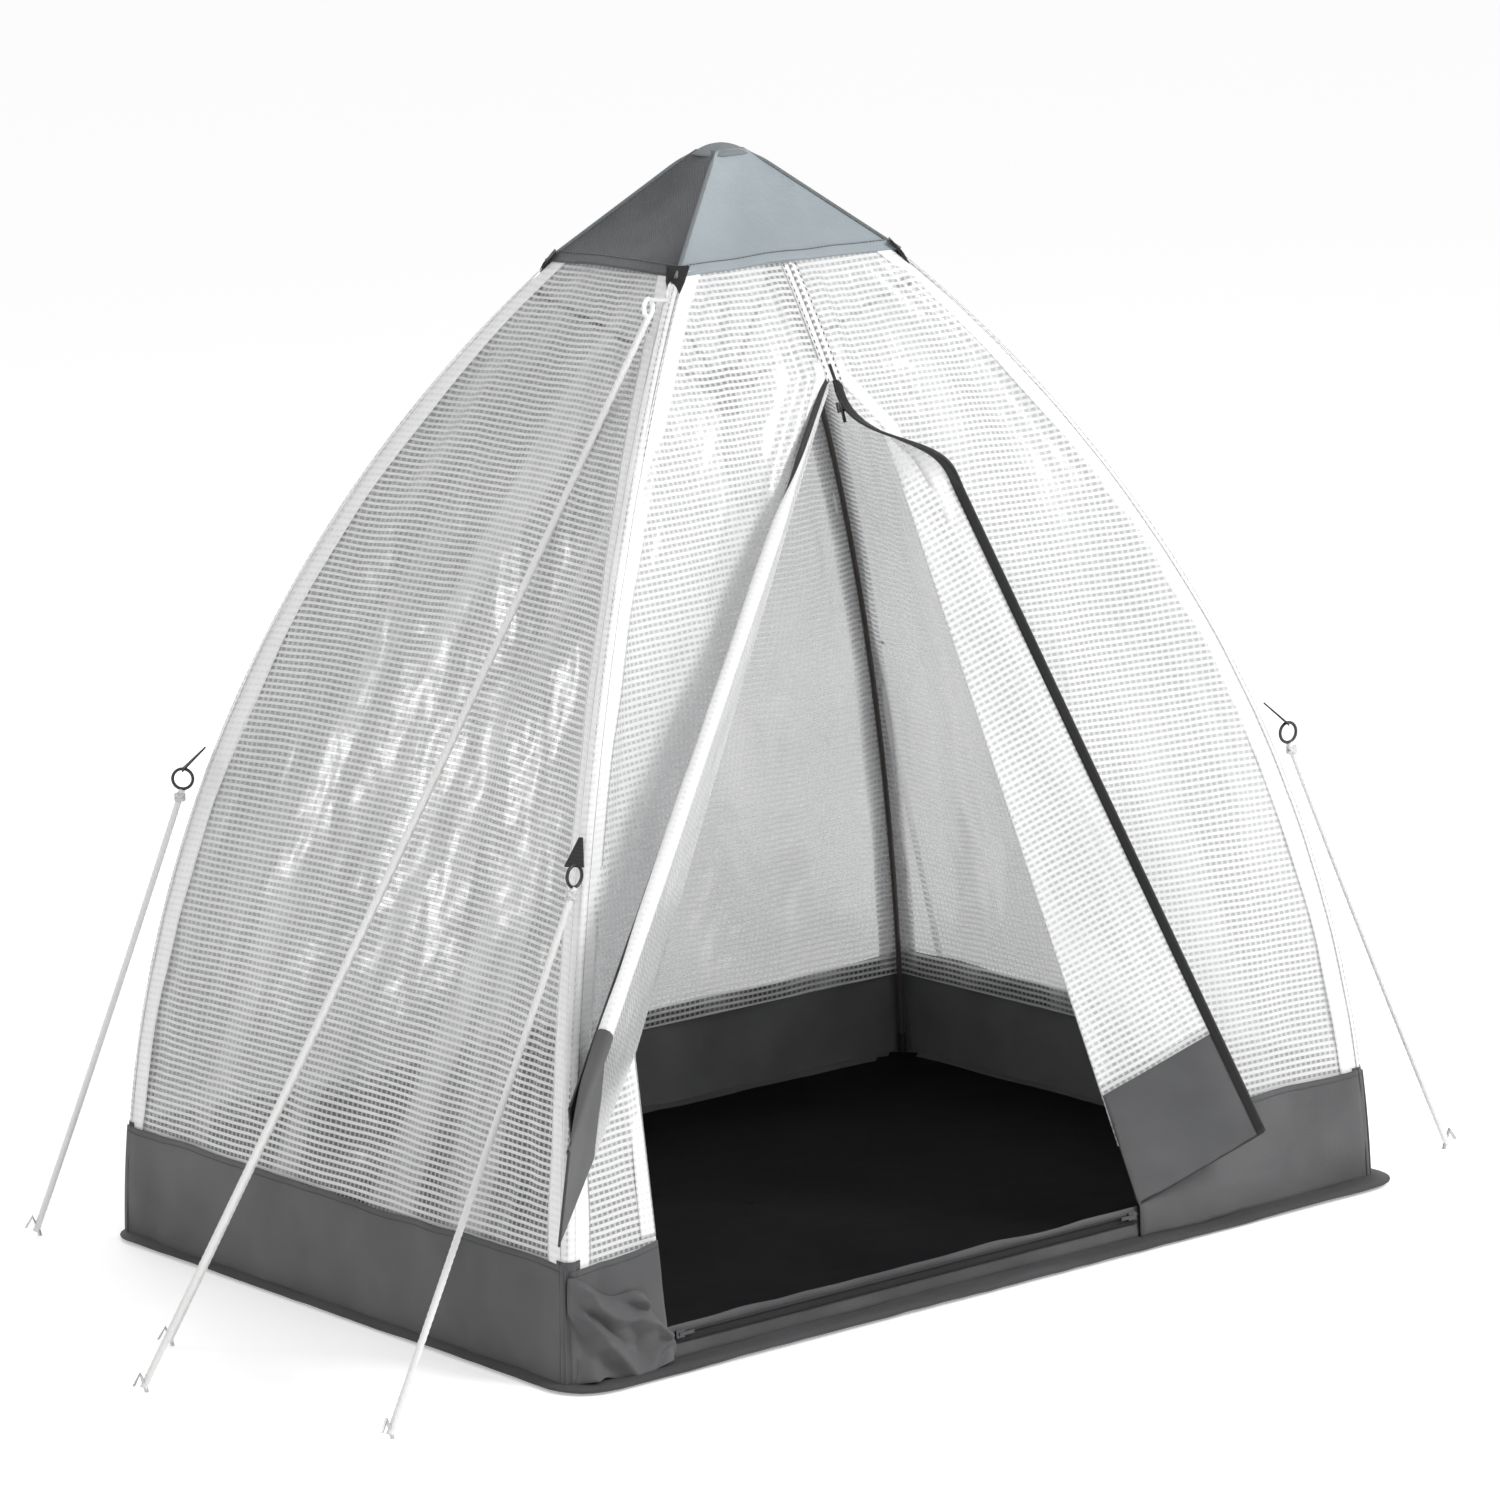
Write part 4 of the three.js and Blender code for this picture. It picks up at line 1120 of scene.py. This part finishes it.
def knot(name, centre, body):
    """A small round turn of cord."""
    path = [centre + Vector((cos(a), sin(a) * 0.8, sin(a * 1.5) * 0.7)) * KNOT_RADIUS
            for a in np.linspace(0, 4 * pi, 40)]
    hang(tube(name, path, KNOT_CORD, CORD, sides=8), body)


def ring_centre(corner):
    return RIB_OUT[corner] * (rib_radius(RING_HEIGHT) + RING_STAND) + UP * (RING_HEIGHT - RING_DROP)


def cord_path(start, end, droop, count=90):
    return [start.lerp(end, t) - UP * (droop * 4 * t * (1 - t)) for t in np.linspace(0, 1, count)]


def hang_cord(name, start, end, droop, node, body):
    hang(laid_cord(name, cord_path(start, Vector((*end, CORD_FOOT_Z)), droop)), body, node)


for corner, end in CORDS.items():
    ring = ring_centre(corner)
    pull = (Vector((*end, CORD_FOOT_Z)) - ring).normalized()
    start = ring - UP * 0.012 + pull * 0.004
    hang_cord(f"cord_{corner}", start, end, GUY_DROOP, f"guy_rope_{corner}", f"guy_{corner}")
    knot(f"cord_knot_{corner}", start + pull * 0.012, f"guy_{corner}")

hook_low, hook_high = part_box("top_hook")
hook_middle = (hook_low + hook_high) / 2
for node, end in HOOK_ENDS.items():
    start = Vector((hook_middle.x, hook_middle.y, hook_low.z + 0.004))
    hang_cord(f"cord_{node}", start, end, HOOK_DROOP, node, "rib_fl")


def web_tab(name, points, corner):
    """A flat piece of webbing on a rib, with these corners."""
    obj = mesh_object(name, points, [tuple(range(len(points)))],
                      [((p - points[0]).length, p.z) for p in points], WEBBING, shade=False)
    thicken(obj, WEB_THICKNESS)
    hang(obj, f"rib_{corner}")


def ring_tab(corner):
    """A triangle of black webbing sewn to the rib's sleeve, with a ring through it for the guy cord."""
    out, centre = RIB_OUT[corner], ring_centre(corner)
    side = Vector((-out.y, out.x, 0)) * (1 if out.x * out.y > 0 else -1)
    seat = out * (rib_radius(RING_HEIGHT) + TAB_STAND) + UP * RING_HEIGHT
    pull = Vector((CORDS[corner][0] - centre.x, CORDS[corner][1] - centre.y, 0)).normalized()
    top, sewn = centre + UP * 0.013, seat + UP * 0.038
    shape = [sewn + side * 0.003, top + side * 0.014, top - side * 0.014, sewn - side * 0.003]
    web_tab(f"ring_tab_{corner}", shape, corner)
    circle = [centre + (pull * cos(a) + UP * sin(a)) * RING_RADIUS
              for a in np.linspace(0, FULL_TURN, 40, endpoint=False)]
    ring = tube(f"ring_{corner}", circle, RING_WIRE, NYLON, sides=10, closed=True)
    hang(ring, f"rib_{corner}", f"guy_ring_{corner}")
    seam_path = [seat + side * 0.001 + UP * d + out * 0.001 for d in np.linspace(-0.006, 0.028, 8)]
    thread = stitches(f"ring_stitch_{corner}", seam_path, THREAD, pitch=0.004, length=0.0026)
    hang(thread, f"rib_{corner}")


def cap_tab(corner):
    """A strap of webbing that ties the cap's corner down to the rib."""
    sx, sy = CORNERS[corner]
    out = RIB_OUT[corner]
    side = Vector((-out.y, out.x, 0))
    low = Vector((sx * CAP_LOW_HALF[0], sy * CAP_LOW_HALF[1], CAP_LOW))
    head = low + UP * 0.016 - out * 0.014
    neck = low + out * 0.004 - UP * 0.004
    foot = low + out * 0.018 - UP * 0.030
    shape = [head + side * 0.017, head - side * 0.017, neck - side * 0.014, foot - side * 0.005,
             foot + side * 0.005, neck + side * 0.014]
    web_tab(f"cap_tab_{corner}", shape, corner)


for corner in CORNERS:
    ring_tab(corner)
    cap_tab(corner)

# a short white link from the cap's front left strap to the hook
cap_foot = Vector((-CAP_LOW_HALF[0] - SHARE_X * 0.018, -CAP_LOW_HALF[1] - SHARE_Y * 0.018, CAP_LOW - 0.028))
hook_head = Vector((hook_middle.x, hook_middle.y, hook_high.z - 0.004))
hang(tube("hook_link", cord_path(cap_foot, hook_head, 0.001, 20), 0.0032, CORD, sides=8), "rib_fl")

# ---- stage, light and camera ----
FLOOR_HALF, FLOOR_Z = 40, -0.0008
floor_look = Look("floor_white")
floor_base = floor_look.put("BsdfPrincipled", Base_Color=(0.86, 0.86, 0.86, 1), Roughness=1.0,
                            Specular_IOR_Level=0.0, Emission_Color=(1, 1, 1, 1), Emission_Strength=0.33)
floor_corners = [Vector((x * FLOOR_HALF, y * FLOOR_HALF, FLOOR_Z))
                 for x, y in ((-1, -1), (1, -1), (1, 1), (-1, 1))]
mesh_object("floor", floor_corners, [(0, 1, 2, 3)], [(p.x, p.y) for p in floor_corners],
                     floor_look.done(floor_base.outputs[0]), shade=False)

# the camera sees the sky white, and the object is lit by a dimmer one
SKY_STRENGTH = 0.74
world = bpy.data.worlds.new("studio")
bpy.context.scene.world = world
world.use_nodes = True
nodes, links = world.node_tree.nodes, world.node_tree.links
sky = nodes["Background"]
sky.inputs[0].default_value = (1, 1, 1, 1)
strength = nodes.new("ShaderNodeMapRange")
strength.inputs["To Min"].default_value = SKY_STRENGTH
links.new(nodes.new("ShaderNodeLightPath").outputs["Is Camera Ray"], strength.inputs["Value"])
links.new(strength.outputs[0], sky.inputs[1])
bpy.context.scene.view_settings.view_transform = "Standard"


def lamp(name, place, target, size, power):
    light = bpy.data.lights.new(name, "AREA")
    light.shape = "DISK"
    light.size = size
    light.energy = power
    obj = bpy.data.objects.new(name, light)
    obj.location = place
    obj.rotation_euler = (Vector(target) - Vector(place)).to_track_quat("-Z", "Y").to_euler()
    bpy.context.scene.collection.objects.link(obj)


lamp("key", (1.8, -5.0, 4.2), (0, 0, 0.6), 2.0, 255)
lamp("graze", (-1.7, -5.2, 2.4), (-0.6, 0, 0.8), 0.7, 20)
lamp("back", (1.5, 4.5, 3.5), (0, 0, 0.8), 3.0, 70)
lamp("glint", (-3.4, 4.2, 1.9), (-0.5, 0, 0.8), 0.5, 30)

CAMERA_AZIMUTH, CAMERA_ELEVATION = radians(-38.756), radians(11.488)
CAMERA_DISTANCE, CAMERA_ROLL = 9.0, radians(-1.703)
CAMERA_TARGET = Vector((-0.280, -0.377, 0.795))
camera_data = bpy.data.cameras.new("camera")
camera_data.sensor_width = 36.0
camera_data.lens = 153.65
camera_data.clip_end = 200
camera = bpy.data.objects.new("camera", camera_data)
bpy.context.scene.collection.objects.link(camera)
back = Vector((sin(CAMERA_AZIMUTH) * cos(CAMERA_ELEVATION),
               -cos(CAMERA_AZIMUTH) * cos(CAMERA_ELEVATION), sin(CAMERA_ELEVATION)))
right = (-back).cross(UP).normalized()
up = right.cross(-back)
rolled_right = right * cos(CAMERA_ROLL) + up * sin(CAMERA_ROLL)
rolled_up = up * cos(CAMERA_ROLL) - right * sin(CAMERA_ROLL)
turned = Matrix((rolled_right, rolled_up, back)).transposed().to_4x4()
camera.matrix_world = Matrix.Translation(CAMERA_TARGET + back * CAMERA_DISTANCE) @ turned
bpy.context.scene.camera = camera

bpy.context.view_layer.update()
